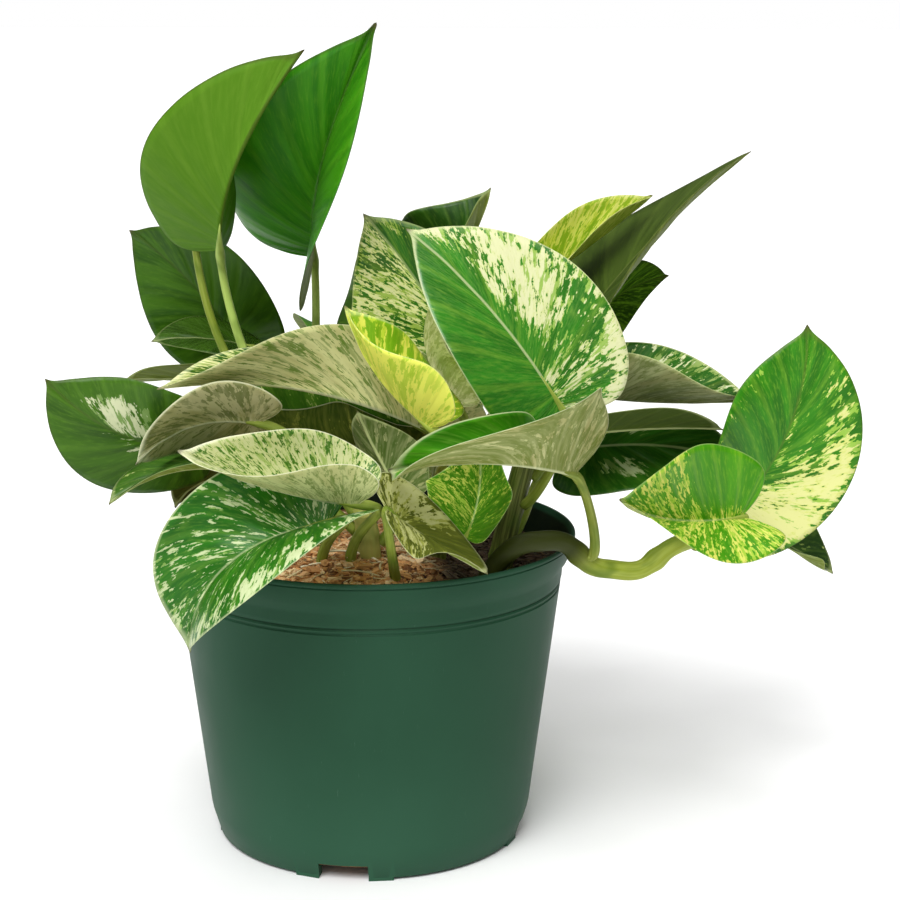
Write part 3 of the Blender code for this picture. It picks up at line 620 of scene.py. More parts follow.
def bladeMesh(leaf, look, seed):
    rows, columns = blade["rows"], blade["columns"]
    dice = random.Random(seed)
    phase, turns = dice.uniform(0, 6.28), dice.uniform(*blade["waves"])
    left, right = (halfBlade(leaf, look, side, phase, turns) for side in (-1, 1))
    flat = {}
    for key in left:
        middle = 0.5 * (left[key][:, :1] + right[key][:, :1])
        value = np.concatenate([left[key][:, :0:-1], middle, right[key][:, 1:]], axis=1)
        body = value[1:rows - 1].reshape((rows - 2) * (2 * columns + 1), *value.shape[2:])
        flat[key] = np.concatenate([value[:1, columns], value[-1:, columns], body])
    faces, rights, kinds = bladeFaces()
    points, up = flat["points"], unit(flat["up"])
    taper = blade["thinEdge"] + (1 - blade["thinEdge"]) * np.clip(flat["edge"] / blade["edgeBand"], 0, 1)
    half = 0.5 * blade["thickness"] * taper[:, None]
    ridge = blade["ridge"] * np.exp(-(flat["rib"] / blade["ridgeBand"]) ** 2)
    ridge = (ridge * (1 - 0.8 * np.clip(flat["t"], 0, 1)))[:, None]     # the midrib thins toward the tip
    solid = np.vstack([points + half * up, points - (half + ridge) * up])
    values = {key: np.tile(flat[key], 2) for key in ("rib", "edge", "bias", "tip")}
    veinXY = np.tile(np.stack([flat["veinX"], flat["veinY"]], 1), (2, 1))
    corners = []
    for face, isRight in zip(faces, rights):
        xy = veinXY[face.ravel()]
        xy[:, 0] += blade["rightShift"] * np.repeat(isRight, face.shape[1])     # so the halves don't mirror
        corners.append(xy)
    materialIndex = np.concatenate([np.full(len(face), kind) for face, kind in zip(faces, kinds)])
    faceList = [tuple(f) for face in faces for f in face.tolist()]
    return solid, faceList, np.vstack(corners), materialIndex, values


def bezier(a, b, c, d, steps):
    t = np.linspace(0, 1, steps)[:, None]
    return (1 - t) ** 3 * a + 3 * (1 - t) ** 2 * t * b + 3 * (1 - t) * t ** 2 * c + t ** 3 * d


def stemPath(stem):
    steps = 4 * (len(stem["points"]) - 1) + 1 if len(stem["points"]) < 5 else 26
    return smoothPath(stem["points"], steps), np.linspace(*stem["radius"], steps)


# From under the blade back down to a joint on its stem, or into the soil.
def stalkPath(leaf):
    up = leafFrame(leaf)[3]
    start = midrib(leaf, 0.0) - 0.5 * up
    back = unit(midrib(leaf, 0.0) - midrib(leaf, 0.06))
    base = np.array(leaf["base"], float)
    if "foot" in leaf:
        x, y = leaf["foot"]
        end = np.array((x, y, soilHeight(x, y) - 2.0))
        leave = np.array((0.0, 0.0, 1.0))
    else:
        path, radii = stemPath(stems[leaf["stem"]])
        place = leaf["at"] * (len(path) - 1)
        k = min(int(place), len(path) - 2)
        joint = path[k] + (place - k) * (path[k + 1] - path[k])
        climb = unit(path[k + 1] - path[k])
        outward = base - joint
        outward = unit(outward - climb * (outward @ climb))
        spread = math.radians(leaf.get("spread", 40))
        leave = math.cos(spread) * climb + math.sin(spread) * outward
        end = joint + (radii[k] - 1.0) * outward + stalk["radius"] * leave
    reach = np.linalg.norm(end - base)
    bend = leaf.get("bend", 0.35)
    free = bezier(start, base + bend * reach * back, end + bend * reach * leave, end, stalk["steps"])
    under = midrib(leaf, np.array([0.16, 0.10, 0.05])) - np.array([0.3, 0.45, 0.5])[:, None] * up
    return np.vstack([under, free])


def stalkMesh(leaf):
    path = stalkPath(leaf)
    runs = np.concatenate([[0], np.cumsum(np.linalg.norm(np.diff(path, axis=0), axis=1))])
    radii = stalk["radius"] * (stalk["slim"] + stalk["flare"] * (runs / runs[-1]) ** 2)
    knee = (runs - runs[3] - stalk["kneeAt"]) / stalk["kneeBand"]
    radii *= 1 + stalk["knee"] * np.exp(-knee ** 2)
    radii[:3] = stalk["underBlade"]
    points, faces, along = tubeParts(path, radii, stalk["sides"])
    return points, faces, tubeCorners(points, faces, along, stalk["sides"], stalk["girth"])


# How a leaf looks, before its own look: the colours, then how much of each shows. Dark, deep, mid and lime
# are living cells, cream ones have no chlorophyll, and grey, under and underPale show only from below.
plainLook = dict(dark="#3f7a1c", deep="#235810", mid="#6f9f30", lime="#b9c94e", cream="#e6e6b4",
                 under="#74873c", underPale="#b4bd7c", grey="#a7a283", margin="#c9d39a", stalk="#7c8c3c",
                 bias=(1.4, 1.4), strokes=[], size=1.0, streaks=2.3, specks=2.3, middle=-0.05,
                 midAmount=0.85, limeAmount=0.35, greyAmount=0.0, underGreen=0.85, vein=0.22,
                 ribShow=0.35, edgeShow=0.35, edgeWidth=0.45, gloss=0.36, shine=0.22)
# What all leaves share. A grain gives mm across and along the veins, detail, roughness and where it starts.
leafTissue = dict(dry="#4a4020", throughLight=0.14, greenKeepsBlue=0.55, paleKeepsBlue=0.88,
                  upper=dict(fine=(0.7, 5.0, 3.0, 0.6, (3, 1, 2)), vein=-0.5, grain=0.35, relief=0.45),
                  under=dict(fine=(0.9, 7.0, 3.0, 0.6, (5, 2, 1)), vein=0.7, grain=0.3, relief=0.4,
                             cloud=(9.0, 24.0, 3.0, 0.6), rough=0.58, ribShow=0.65))


def leafColour(hexText):
    red, green, blue, alpha = linearColour(hexText)
    keep = leafTissue["greenKeepsBlue"] if green < 0.45 else leafTissue["paleKeepsBlue"]
    return (red, green, blue * keep, alpha)


# A living leaf: wax over the upper face gives a soft satin sheen, the lower face is duller and paler, and a
# little light comes through both. Green and white cells meet in sharp-edged splashes along the veins.
def leafSkin(name, look, seed, side):
    material, add = startMaterial(name)
    own = leafTissue[side]
    colour = {key: leafColour(value) for key, value in look.items() if isinstance(value, str)}
    vein = add("ShaderNodeUVMap", uv_map="vein")
    bias, rib, edge, dry = (add("ShaderNodeAttribute", out="Fac", attribute_name=key)
                            for key in ("bias", "rib", "edge", "tip"))
    size, start = look["size"], (seed * 13.7 % 61, seed * 7.3 % 47, seed * 1.9)
    grain = dict(splash=(4.0 * size, 34.0 * size, 2.0, 0.5, start),      # mm across and along a vein
                 streak=(1.2 * size, 8.0 * size, 3.0, 0.6, start),
                 speck=(0.9 * size, 3.2 * size, 3.0, 0.6, start),
                 mid=(1.6 * size, 12.0 * size, 4.0, 0.68, (start[1], start[0], 3.0)),
                 fine=own["fine"])
    if side == "under":
        grain["cloud"] = (*own["cloud"], (seed, 4, 2))
    noise = {}
    for key, (across, along, detail, rough, shift) in grain.items():
        moved = add("ShaderNodeMapping", {0: vein, 1: shift, 3: (1 / across, 1 / along, 1)})
        noise[key] = add("ShaderNodeTexNoise", {"Vector": moved, "Scale": 1.0, "Detail": detail,
                                                "Roughness": rough})
    weights = dict(splash=1.5, streak=look["streaks"], speck=look["specks"])
    green = add("ShaderNodeMath", {0: bias, 1: 0.5 * sum(weights.values())}, operation="SUBTRACT")
    for key, weight in weights.items():
        green = add("ShaderNodeMath", {0: noise[key], 1: weight, 2: green}, operation="MULTIPLY_ADD")
    mid = add("ShaderNodeMath", {0: bias, 1: 0.6, 2: look["middle"] - 1.8}, operation="MULTIPLY_ADD")
    mid = add("ShaderNodeMath", {0: noise["mid"], 1: 3.6, 2: mid}, operation="MULTIPLY_ADD")
    fine = noise["fine"]

    line = add("ShaderNodeSeparateXYZ", {0: vein})
    line = add("ShaderNodeMath", {0: line, 1: 1 / look["veinGap"]}, operation="MULTIPLY")
    line = add("ShaderNodeMath", {0: line, 1: 0.5}, operation="PINGPONG")        # 0 on each side vein
    rib = add("ShaderNodeMath", {0: rib}, operation="ABSOLUTE")

    if side == "upper":
        living = paint(add, colour["dark"], [(noise["splash"], 0.35, 0.65, 1.0, colour["deep"]),
                                             (line, 0.14, 0.02, look["vein"], colour["mid"]),
                                             (fine, 0.45, 0.75, 0.4, colour["mid"])])
        tone = paint(add, colour["cream"], [(green, -0.5, 0.0, look["limeAmount"], colour["lime"]),
                                            (mid, -0.06, 0.06, look["midAmount"], colour["mid"]),
                                            (green, -0.04, 0.05, 1.0, living)])
        rough = add("ShaderNodeMapRange", {0: fine, 1: 0.3, 2: 0.7, 3: look["gloss"] - 0.05,
                                           4: look["gloss"] + 0.08}, interpolation_type="SMOOTHSTEP")
        ribShow, shine = look["ribShow"], look["shine"]
    else:
        tone = paint(add, colour["underPale"], [
            (noise["cloud"], 0.42, 0.58, look["greyAmount"], colour["grey"]),
            (mid, -0.06, 0.06, 0.5, colour["under"]),
            (green, -0.04, 0.05, look["underGreen"], colour["under"]),
            (fine, 0.35, 0.75, 0.3, colour["underPale"]), (line, 0.14, 0.02, 0.25, colour["underPale"])])
        rough, ribShow, shine = own["rough"], own["ribShow"], 0.5 * look["shine"]
    tone = paint(add, tone, [(rib, 0.75, 0.25, ribShow, colour["margin"]),
                             (edge, look["edgeWidth"], 0.1, look["edgeShow"], colour["margin"]),
                             (dry, 0.0, 1.0, 0.8, linearColour(leafTissue["dry"]))])
    relief = add("ShaderNodeMapRange", {0: line, 1: 0.14, 2: 0.02, 4: own["vein"]},
                 interpolation_type="SMOOTHSTEP")
    relief = add("ShaderNodeMath", {0: fine, 1: own["grain"], 2: relief}, operation="MULTIPLY_ADD")
    bump = add("ShaderNodeBump", {"Strength": own["relief"], "Distance": 0.0004, "Height": relief})
    skin = add("ShaderNodeBsdfPrincipled", {"Base Color": tone, "Roughness": rough,
                                            "Specular IOR Level": shine, "Normal": bump})
    glow = add("ShaderNodeBsdfTranslucent", {"Color": tone})
    both = add("ShaderNodeMixShader", {0: leafTissue["throughLight"], 1: skin, 2: glow})
    add("ShaderNodeOutputMaterial", {0: both})
    return material


stalkTissue = dict(pale="#b4bf6c", dark="#4c6a20", stripe=(0.8, 30.0, 3.0, 0.6, (1, 2, 3)),
                   patch=(5.0, 14.0, 2.0, 0.5, (7, 2, 3)))
stalkSkins = {}


# Stalk and stem cuticle: smooth and faintly waxy, with fine stripes along it and darker green patches.
def stalkSkin(look):
    if look["stalk"] in stalkSkins:
        return stalkSkins[look["stalk"]]
    material, add = startMaterial(f"stalkCuticle{len(stalkSkins)}")
    vein = add("ShaderNodeUVMap", uv_map="vein")
    noise = {}
    for key in ("stripe", "patch"):
        across, along, detail, rough, shift = stalkTissue[key]
        moved = add("ShaderNodeMapping", {0: vein, 1: shift, 3: (1 / across, 1 / along, 1)})
        noise[key] = add("ShaderNodeTexNoise", {"Vector": moved, "Scale": 1.0, "Detail": detail,
                                                "Roughness": rough})
    layers = [(noise["stripe"], 0.3, 0.75, 0.5, leafColour(stalkTissue["pale"])),
              (noise["patch"], 0.4, 0.75, 0.7, leafColour(stalkTissue["dark"]))]
    if "inner" in look:         # the end of the vine that lies among the stems by the rim is painted dark, a painted shade
        start, end = look["innerRange"]
        run = add("ShaderNodeSeparateXYZ", {0: vein}, 1)
        layers.append((run, end, start, 1.0, leafColour(look["inner"])))
    tone = paint(add, leafColour(look["stalk"]), layers)
    bump = add("ShaderNodeBump", {"Strength": 0.35, "Distance": 0.0003, "Height": noise["stripe"]})
    skin = add("ShaderNodeBsdfPrincipled", {"Base Color": tone, "Roughness": 0.5, "Specular IOR Level": 0.15,
                                            "Normal": bump})
    add("ShaderNodeOutputMaterial", {0: skin})
    stalkSkins[look["stalk"]] = material
    return material


def makeLeaf(node, leaf, seed):
    look = {**plainLook, "veinGap": leafFrame(leaf)[1] / blade["veins"], **leaf.get("look", {})}
    solid, faces, corners, kinds, values = bladeMesh(leaf, look, seed)
    stalkPoints, stalkFaces, stalkCorners = stalkMesh(leaf)
    count = len(solid)
    points = np.vstack([solid, stalkPoints])
    faces = faces + [tuple(count + v for v in face) for face in stalkFaces]
    kinds = np.concatenate([kinds, np.full(len(stalkFaces), 2)])
    values = {key: np.concatenate([value, np.zeros(len(stalkPoints))]) for key, value in values.items()}
    name = pieceName(node)
    skins = [leafSkin(f"{name}WaxyCuticle", look, seed, "upper"),
             leafSkin(f"{name}DullUnderside", look, seed, "under"), stalkSkin(look)]
    maps = {"vein": np.vstack([corners, stalkCorners])}
    standFor(meshObject(name, points, faces, skins, kinds, maps, values), node)


def makeStem(node, stem):
    path = smoothPath(stem["points"], stemShape["steps"] * (len(stem["points"]) - 1) // 2 + 1)
    run = np.linspace(0, 1, len(path))
    radii = stem["radius"][0] + (stem["radius"][1] - stem["radius"][0]) * run
    for joint in stemShape["joints"]:
        radii = radii + stemShape["swell"] * np.exp(-((run - joint) / stemShape["swellBand"]) ** 2)
    points, faces, along = tubeParts(path, radii, stemShape["sides"])
    corners = tubeCorners(points, faces, along, stemShape["sides"], stemShape["girth"])
    standFor(meshObject(pieceName(node), points, faces, [stalkSkin(stem)], None, {"vein": corners}), node)


# Stems: points from the soil up, in mm, the radius at each end, and the colour.
stems = {
    "stem_left": dict(points=[(-20, 12, 84), (-21, 13, 108), (-26, 17, 150)], radius=(4.2, 3.4),
                      stalk="#5a6a2a"),
    "stem_front": dict(points=[(0, -36, 88), (0, -40, 114), (-2, -46, 134)], radius=(4.6, 3.8),
                       stalk="#b8b468"),
    "stem_middle": dict(points=[(22, -8, 84), (24, -10, 110), (27, -14, 148)], radius=(4.2, 3.4),
                        stalk="#66722e"),
    "stem_right": dict(points=[(46, -20, 86), (48, -20, 112), (56, -20, 146)], radius=(4.8, 4.0),
                       stalk="#343c1a"),
    "stem_back": dict(points=[(30, 38, 84), (31, 40, 110), (34, 44, 146)], radius=(4.2, 3.4),
                      stalk="#4a5622"),
    "vine_trailing": dict(points=[(38, -42, 88), (41, -46, 108), (50, -48, 120), (60, -46, 122),
                          (69, -42, 120), (78, -37, 111), (86, -33, 108), (97, -30, 107), (108, -27, 114),
                          (118, -18, 115), (129, -6, 113)], radius=(3.8, 3.2), stalk="#8f9c40",
                          # inner and its run along the vine, in mm, paint a shade on the end that lies among
                          # the stems
                          inner="#333a1a", innerRange=(58.0, 74.0)),
}

# Leaves: where the blade meets its stalk, its tip and the way it faces, then the left and right half, whose
# width is in mm and fold and curl in degrees. The stalk leaves its stem at a share of the way up, or has a
# foot in the soil. In a look, bias says how green each half is, from -1 for all cream to 1 for all green.
# A stroke is the half (-1, 1 or 0 for both), from and to along the midrib, from and to outward, greener by.
leaves = {
    "leaf_top_left": dict(
        base=(-54, 13, 217), tip=(-22, -14, 290), faces=(0.17, 0.97, 0.15), width=(30, 33), fold=(100, 0),
        curl=(20, 0), arch=-14, sweep=5, twist=22, stem="stem_left", at=0.98,
        look=dict(dark="#548420", deep="#467416", mid="#6f9c34", under="#4f7e1c", underPale="#6c963a",
                  stalk="#aac468", edgeShow=0.7, margin="#4a5a2a")),
    "leaf_top_middle": dict(
        base=(-21, 51, 209), tip=(3, -11, 299), faces=(-0.3, -0.95, 0.1), width=(38, 29), fold=(32, 52),
        curl=(-30, 5), arch=11, sweep=-2, twist=32, stem="stem_left", at=0.9, lobe=0.25,
        look=dict(dark="#40901c", deep="#2c7814", mid="#62a22e", vein=0.2, stalk="#a4bc60", edgeShow=0.6,
                  margin="#3c5020")),
    "leaf_back_left_dark": dict(
        base=(-51, 78, 169), tip=(-94, 78, 216), faces=(-0.1, -1.0, 0.1), width=(25, 26), fold=(0, 15),
        curl=(10, 20), arch=3, sweep=4, twist=5, stem="stem_left", at=0.6,
        look=dict(dark="#3c6616", deep="#284e0e", mid="#527c24", edgeShow=0.4, margin="#3c4a24")),
    "leaf_left_glossy": dict(
        base=(-45, 52, 174), tip=(-83, 44, 178), faces=(0.0, -0.15, 1.0), width=(23, 22), fold=(0, 5),
        curl=(5, 0), arch=2, sweep=1, twist=-10, stem="stem_left", at=0.86,
        look=dict(dark="#3c5e20", deep="#294414", mid="#54773c", gloss=0.25, edgeShow=0.2)),
    "leaf_left_under": dict(
        base=(-56, 54, 161), tip=(-94, 46, 163), faces=(0.0, 0.4, 0.9), width=(17, 20), fold=(4, 0),
        curl=(5, 20), sweep=-3, stem="stem_left", at=0.72,
        look=dict(dark="#3a5a20", deep="#24400f", under="#5e7030", underPale="#8a9852")),
    "leaf_far_left": dict(
        base=(-61, -10, 147), tip=(-114, -23, 176), faces=(-0.3, -0.95, 0.2), width=(24, 26),
        fold=(-15, 15), curl=(0, 10), arch=4, sweep=-6, twist=36, stem="stem_left", at=0.72,
        look=dict(dark="#3f6a18", deep="#2e5412", mid="#5f8a34", lime="#a9b88c", cream="#d3d8ba",
                  bias=(1.3, 1.2), edgeShow=0.3, size=1.3, margin="#4c5c34",
                  strokes=[(1, 0.56, 0.82, 0.0, 0.75, -1.4), (-1, 0.56, 0.8, 0.0, 0.35, -1.3),
                  (0, 0.25, 0.4, 0.1, 0.5, -0.9)])),
    "leaf_left_low": dict(
        base=(-49, -30, 145), tip=(-91, -41, 135), faces=(-0.15, -0.1, 1.0), width=(23, 20), fold=(26, 18),
        curl=(-16, -40), arch=5, sweep=1, twist=-14, stem="stem_front", at=0.72,
        look=dict(dark="#3f6a2e", deep="#2a4e1c", mid="#6c8c44", cream="#c6cfa0", bias=(0.5, 0.6))),
    "leaf_left_turned": dict(
        base=(-39, -28, 161), tip=(-81, -45, 150), faces=(0.0, 0.76, 0.65), width=(20, 19), fold=(-5, 0),
        curl=(15, 15), arch=6, sweep=-3, twist=10, stem="stem_front", at=0.88,
        look=dict(under="#5c6c34", underPale="#c6c298", bias=(-0.15, -0.3), margin="#e4e6cc", edgeWidth=0.8,
                  edgeShow=0.8, greyAmount=0.7, underGreen=0.75)),
    "leaf_centre_long": dict(
        base=(25, -30, 156), tip=(-73, -42, 176), faces=(0.0, 0.1, 1.0), width=(26, 20), fold=(68, 30),
        curl=(10, 26), arch=8, sweep=6, twist=-97, stem="stem_middle", at=0.98, bend=0.12,
        look=dict(under="#55762a", underPale="#cfce9a", bias=(-0.2, -0.15), underGreen=0.9,
                  margin="#dfe2bc", dark="#3f7a20", mid="#8aa452", greyAmount=0.6)),
    "leaf_young_lime": dict(
        base=(21, -50, 164), tip=(-8, -44, 205), faces=(0.62, -0.35, 0.7), width=(28, 23), fold=(35, 50),
        curl=(40, -50), arch=-5, twist=-23, stem="stem_middle", at=0.85,
        look=dict(dark="#9cc82c", deep="#7cb41c", mid="#c4de3c", lime="#e2ea4c", cream="#f2f26c",
                  bias=(-0.15, 0.0), under="#b4d838", underPale="#f8fa74", margin="#f0f0c4",
                  stalk="#b8c850", size=1.5, specks=1.4, underGreen=0.8)),
    "leaf_young_rolled": dict(
        base=(31, -30, 167), tip=(22, -36, 205), faces=(0.88, -0.45, 0.16), width=(20, 20), fold=(60, 85),
        curl=(0, 10), arch=-8, sweep=3, twist=-10, stem="stem_middle", at=0.78, bend=0.4,
        look=dict(dark="#9cb850", mid="#c0cc78", cream="#e4e4b4", lime="#ccd674", bias=(0.0, 0.0),
                  under="#aab86a", underPale="#dfe2b0")),
    "leaf_centre_cream": dict(
        base=(40, 12.5, 160), tip=(-2, 22.5, 229), faces=(0.0, -0.97, 0.22), width=(35, 25), fold=(0, 5),
        curl=(8, 14), arch=3, sweep=4, twist=3, stem="stem_middle", at=0.75,
        look=dict(dark="#327420", deep="#265c18", mid="#8db044", lime="#ccd866", cream="#dcdfa8",
                  bias=(-0.05, 1.0), limeAmount=0.5, size=0.85, specks=2.8,
                  strokes=[(0, 0.0, 0.32, 0.0, 1.0, -0.6), (1, 0.3, 1.0, 0.75, 1.0, -1.0)])),
    "leaf_centre_main": dict(
        base=(66, -48, 170), tip=(13, -39, 231), faces=(0.3, -0.84, 0.46), width=(29, 35), fold=(15, -3),
        curl=(0, 27), arch=4, sweep=2, twist=9, stem="stem_right", at=0.98,
        look=dict(dark="#32801e", deep="#266a12", mid="#86b048", lime="#c4d07c", cream="#dadcb4",
                  bias=(1.2, -0.1), gloss=0.28, shine=0.45, edgeShow=0.6, ribShow=0.5, margin="#dde2b4",
                  limeAmount=0.5, size=0.9, specks=2.7, strokes=[(-1, 0.0, 1.0, 0.93, 1.0, -0.5),
                  (1, 0.52, 1.0, 0.0, 0.2, 1.2), (1, 0.78, 1.0, 0.0, 0.78, 1.0),
                  (1, 0.41, 0.49, 0.12, 0.95, 0.5), (1, 0.2, 0.28, 0.0, 0.72, 0.6),
                  (1, 0.53, 0.92, 0.4, 1.0, -0.2), (1, 0.0, 0.38, 0.8, 1.0, -0.45)])),
    "leaf_back_hooked": dict(
        base=(22, 53, 202.4), tip=(46, 43, 236.4), faces=(-0.45, -0.77, 0.46), width=(24, 24),
        fold=(24, 66), curl=(23, 0), arch=2, sweep=8, twist=-10, stem="stem_back", at=0.9, bend=0.2,
        look=dict(dark="#34601f", deep="#1f4410", mid="#5f8438", bias=(0.8, 0.8))),
    "leaf_back_lime": dict(
        base=(57, 30, 198), tip=(107, 39, 234), faces=(-0.25, -0.86, 0.45), width=(21, 24), fold=(53, 69),
        curl=(32, 13), arch=-2, twist=-23, stem="stem_back", at=0.98,
        look=dict(dark="#b0cc44", deep="#94bc34", mid="#ccda50", lime="#e6ea5c", cream="#f0f0a0",
                  bias=(-0.1, -0.1), under="#c0d44c", underPale="#ecf08c")),
    "leaf_right_pointed": dict(
        base=(75, 4, 187), tip=(143, 35, 251), faces=(-0.3, 0.36, 0.88), width=(37, 35), fold=(25, -14),
        curl=(7, 27), arch=4, sweep=-4, twist=-15, stem="stem_back", at=0.85, bend=0.15,
        look=dict(under="#4e6030", underPale="#98a068", bias=(1.0, 1.0), margin="#7f8862", dark="#44572c",
                  deep="#364820", mid="#566a38", vein=0.35, edgeShow=0.3, gloss=0.5, shine=0.1)),
    "leaf_right_dark": dict(
        base=(87, 43, 176), tip=(120, 81, 197), faces=(0.0, -0.88, -0.48), width=(23, 22), fold=(15, 0),
        curl=(7, 10), arch=-8, sweep=-2, twist=9, stem="stem_back", at=0.8,
        # its colours, the underside most of all, are painted near black, a painted shade
        look=dict(dark="#2c4a18", deep="#1c340c", under="#1f2c0c", underPale="#2c3a16", margin="#3c4824",
                  shine=0.0)),
    "leaf_right_marbled": dict(
        base=(77, -17, 169), tip=(141, 0, 163), faces=(0.0, -0.3, 0.96), width=(23, 23), fold=(35, 54),
        curl=(21, -3), arch=-3, sweep=-2, twist=47, stem="stem_right", at=0.88,
        look=dict(dark="#2c6a20", deep="#1e5014", mid="#7fa050", cream="#e2e6cc", bias=(0.15, -0.1),
                  under="#66793c", underPale="#b4ba8c", edgeShow=0.6, greyAmount=0.5, underGreen=0.6)),
    "leaf_right_narrow": dict(
        base=(79, -35, 159), tip=(128, -14, 155), faces=(0.0, 0.25, 0.97), width=(10, 11), fold=(15, 36),
        curl=(21, 0), arch=1, sweep=2, stem="stem_right", at=0.75,
        look=dict(dark="#3c5420", deep="#2a3c14", under="#3f5222", underPale="#5c6c3a")),
    "leaf_right_broad": dict(
        base=(74, 1, 144), tip=(136, 3, 139), faces=(0.0, -0.93, 0.37), width=(22, 24), fold=(46, 24),
        curl=(40, 28), arch=6, sweep=-3, twist=-11, stem="stem_right", at=0.55,
        look=dict(dark="#2f6a1c", deep="#1f5010", mid="#5c8238", cream="#b9c79c", lime="#8ca468",
                  bias=(1.0, 1.0), edgeShow=0.2, size=1.3, strokes=[(0, 0.38, 0.62, 0.25, 0.7, -1.2)],
                  under="#4c6028", underPale="#7c8a4c")),
    "leaf_vine_upright": dict(
        base=(135, 0, 120), tip=(161, 5, 190), faces=(0.12, -0.97, 0.22), width=(35, 31), fold=(18, -4),
        curl=(23, 12), sweep=8, twist=-36, stem="vine_trailing", at=0.995,
        look=dict(dark="#348418", deep="#266c0e", mid="#86ba36", lime="#c6d456", cream="#dedf9c",
                  bias=(1.0, 0.7), gloss=0.34, edgeShow=0.45, ribShow=0.35, margin="#5f6f34",
                  limeAmount=0.55, specks=2.7, strokes=[(1, 0.0, 0.42, 0.0, 1.0, -0.28),
                  (1, 0.0, 0.52, 0.0, 1.0, -1.1), (1, 0.5, 0.62, 0.25, 1.0, -0.8),
                  (1, 0.62, 0.76, 0.6, 1.0, -0.65), (1, 0.55, 0.97, 0.0, 0.12, -1.0),
                  (-1, 0.3, 0.75, 0.75, 1.0, -0.6), (-1, 0.0, 0.3, 0.2, 1.0, -1.0)])),
    "leaf_vine_front": dict(
        base=(133, -30, 126), tip=(84, -75, 144), faces=(0.14, -0.8, 0.59), width=(27, 28), fold=(44, 48),
        curl=(-19, -17), arch=-7, sweep=-1, twist=-2, stem="vine_trailing", at=0.86,
        look=dict(dark="#4c9814", deep="#3c880c", mid="#96c236", lime="#c2d43c", cream="#d8d870",
                  bias=(0.0, 0.05), edgeShow=0.3, specks=2.6, strokes=[(1, 0.0, 0.55, 0.25, 1.0, 1.1)])),
    "leaf_vine_low": dict(
        base=(153, 24, 105), tip=(181, 34, 87), faces=(0.12, -0.6, 0.79), width=(22, 23), fold=(7, 30),
        curl=(2, 25), arch=-2, sweep=-3, twist=4, stem="vine_trailing", at=0.91, bend=0.12,
        look=dict(dark="#33561f", deep="#203f12", mid="#5c7c38", cream="#a9b67c", bias=(0.3, 0.3))),
    "leaf_front_folded": dict(
        base=(69, -67, 151), tip=(6, -69, 153), faces=(0.0, -0.8, 0.6), width=(33, 18), fold=(88, 11),
        curl=(-9, 57), arch=22, sweep=-6, twist=-91, stem="vine_trailing", at=0.45, spread=12, bend=0.2,
        look=dict(dark="#4f9c20", deep="#3a841a", mid="#84b448", cream="#d4dca0", bias=(0.15, 1.0),
                  edgeShow=0.7, under="#66782f", underPale="#c2c492", margin="#e0e4c0", stalk="#6f7a30",
                  greyAmount=0.85, underGreen=0.75, size=1.3)),
    "leaf_front_round": dict(
        base=(33, -54, 125.2), tip=(37, -43, 161.2), faces=(-0.1, -1.0, 0.1), width=(23, 24), fold=(37, 51),
        curl=(3, 21), arch=-6, sweep=3, twist=3, stem="stem_middle", at=0.5,
        look=dict(dark="#4a8a1c", deep="#387814", mid="#8fb63c", lime="#b4c640", cream="#cdd468",
                  bias=(0.1, 0.2), size=0.6, specks=2.8, under="#7f9440", underPale="#b6c060",
                  strokes=[(0, 0.0, 0.35, 0.0, 1.0, 0.3)])),
    "leaf_front_hanging": dict(
        base=(6, -84, 143.4), tip=(39, -92, 123.6), faces=(0.33, 0.47, 0.82), width=(21, 23),
        fold=(27, -15), curl=(33, -28), arch=1, sweep=-7, twist=-16, foot=(9, -54), bend=0.05,
        look=dict(dark="#626a30", deep="#4e5826", mid="#949a52", lime="#a6ac64", cream="#bec08a",
                  bias=(0.05, 0.0), gloss=0.5, shine=0.1, margin="#cfd3ac", edgeShow=0.6, under="#6f7f3a",
                  underPale="#b2bd70", strokes=[(0, 0.6, 1.0, 0.0, 1.0, 0.9),
                  (-1, 0.0, 0.6, 0.5, 1.0, -0.25)])),
    "leaf_front_cream": dict(
        base=(-4, -86, 146), tip=(-62, -90, 165), faces=(0.0, -0.44, 0.9), width=(21, 22), fold=(43, 39),
        curl=(23, 47), arch=-4, twist=-56, foot=(-7, -46),
        look=dict(dark="#4f8034", deep="#3d6e26", mid="#9ab460", lime="#c6d07c", cream="#d0d4a6",
                  bias=(-0.26, -0.2), under="#5f7a38", underPale="#c4ca94", size=0.62, specks=3.0,
                  streaks=1.8, margin="#eeeed8", edgeShow=0.7, underGreen=0.7, greyAmount=0.4)),
    "leaf_front_over_rim": dict(
        base=(-13, -79, 138), tip=(-61, -77, 92), faces=(-0.53, -0.37, 0.76), width=(29, 28), fold=(15, 36),
        curl=(-22, 61), arch=18, sweep=-5, twist=-24, foot=(-17, -42),
        look=dict(dark="#2c761c", deep="#1f6012", mid="#74a24c", lime="#9cb870", cream="#ccd8b0",
                  bias=(0.34, 0.26), size=0.75, margin="#dce6bc", edgeWidth=0.7, middle=-0.3, edgeShow=0.5,
                  limeAmount=0.3, streaks=2.9, specks=1.8, strokes=[(0, 0.0, 0.2, 0.0, 1.0, 0.3),
                  (-1, 0.2, 0.9, 0.75, 1.0, -0.45)])),
    "leaf_centre_cupped": dict(
        base=(20, 6, 145), tip=(-58, -6, 171), faces=(-0.16, -0.67, 0.72), width=(36, 31), fold=(63, 40),
        curl=(57, 12), arch=-17, sweep=-4, twist=16, stem="stem_middle", at=0.7,
        look=dict(dark="#3f6c20", deep="#305a18", mid="#6a8a3c", cream="#ccd49c", bias=(0.45, 0.45),
                  under="#3f5a1e", underPale="#a4b068", margin="#e6e8cc", edgeShow=0.8, underGreen=0.95)),
    "leaf_left_shaded": dict(
        base=(-46, 17, 126), tip=(-73, 13, 120), faces=(0.0, 0.62, 0.78), width=(20, 19), fold=(10, 10),
        curl=(8, 12), arch=6, sweep=-4, twist=2, stem="stem_left", at=0.6,
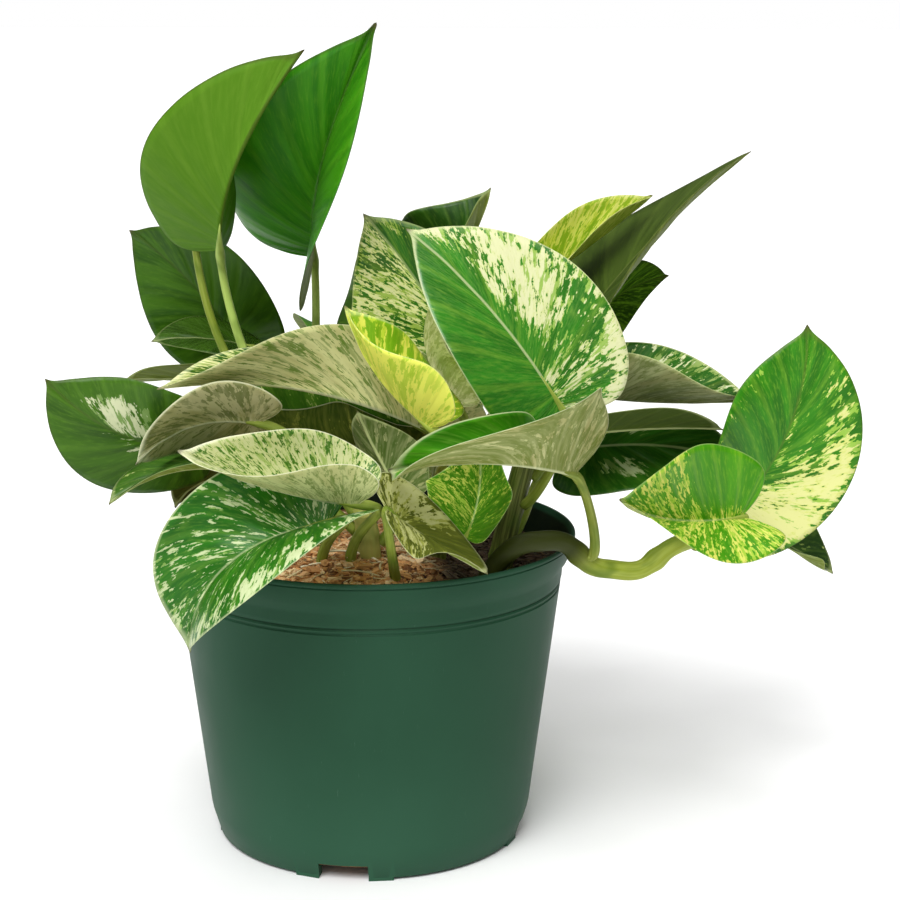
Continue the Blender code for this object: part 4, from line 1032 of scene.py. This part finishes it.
        # its colours are darkened all over, a painted shade
        look=dict(dark="#3a4a20", deep="#2a3614", under="#4a5228", underPale="#6a7040", mid="#4c5c28")),
    "leaf_centre_sliver": dict(
        base=(-1, 36, 183), tip=(-2, 46, 217), faces=(-0.7, -0.7, 0.16), width=(21, 19), fold=(-12, 4),
        curl=(2, 6), arch=-4, sweep=2, twist=-8, stem="stem_back", at=0.8, bend=0.2,
        look=dict(dark="#4c7a2c", deep="#3a641c")),
    "leaf_centre_low": dict(
        base=(12, -42, 137), tip=(-4, -36, 167), faces=(0.27, 0.82, 0.5), width=(15, 15), fold=(5, 5),
        curl=(30, 37), arch=4, sweep=4, twist=-7, stem="stem_front", at=0.6,
        look=dict(under="#3f5a22", underPale="#b4b888", bias=(0.4, 0.35), cream="#d6dab0", dark="#3f6c24",
                  greyAmount=0.5, underGreen=0.9)),
    "leaf_top_left_behind": dict(
        base=(-65, 29, 225), tip=(-72, 38, 262), faces=(-0.5, 0.8, 0.1), width=(12, 12), fold=(10, 12),
        curl=(10, 14), arch=-3, stem="stem_left", at=0.9),
    "leaf_rear_left": dict(
        base=(-44, 80, 130), tip=(-76, 116, 122), faces=(-0.2, 0.2, 1.0), width=(27, 28), fold=(12, 14),
        curl=(14, 12), arch=8, twist=10, stem="stem_left", at=0.5,
        look=dict(dark="#3f7626", bias=(0.3, 0.1))),
    "leaf_rear_middle": dict(
        base=(-2, 78, 166), tip=(-8, 128, 148), faces=(0.0, 0.5, 0.9), width=(29, 28), fold=(14, 12),
        curl=(10, 14), arch=10, twist=-8, stem="stem_back", at=0.99),
    "leaf_rear_right": dict(
        base=(44, 74, 156), tip=(80, 112, 142), faces=(0.3, 0.3, 0.9), width=(27, 26), fold=(10, 14),
        curl=(12, 10), arch=8, twist=10, stem="stem_back", at=0.75,
        look=dict(dark="#3f7626", bias=(0.0, 0.4))),
    "leaf_rear_hanging": dict(
        base=(16, 84, 130), tip=(22, 104, 82), faces=(0.0, 0.9, 0.3), width=(24, 25), fold=(12, 10),
        curl=(14, 12), arch=7, twist=-8, stem="stem_back", at=0.55,
        look=dict(dark="#3f7626", bias=(0.2, 0.2))),
}


makeStudio()
print("studio ready")
makePot()
print("pot ready")
makeSoil()
print("soil and litter ready")
for node, stem in stems.items():
    makeStem(node, stem)
print(len(stems), "stems ready")
for seed, (node, leaf) in enumerate(leaves.items(), 1):
    makeLeaf(node, leaf, seed)
print(len(leaves), "leaves ready")
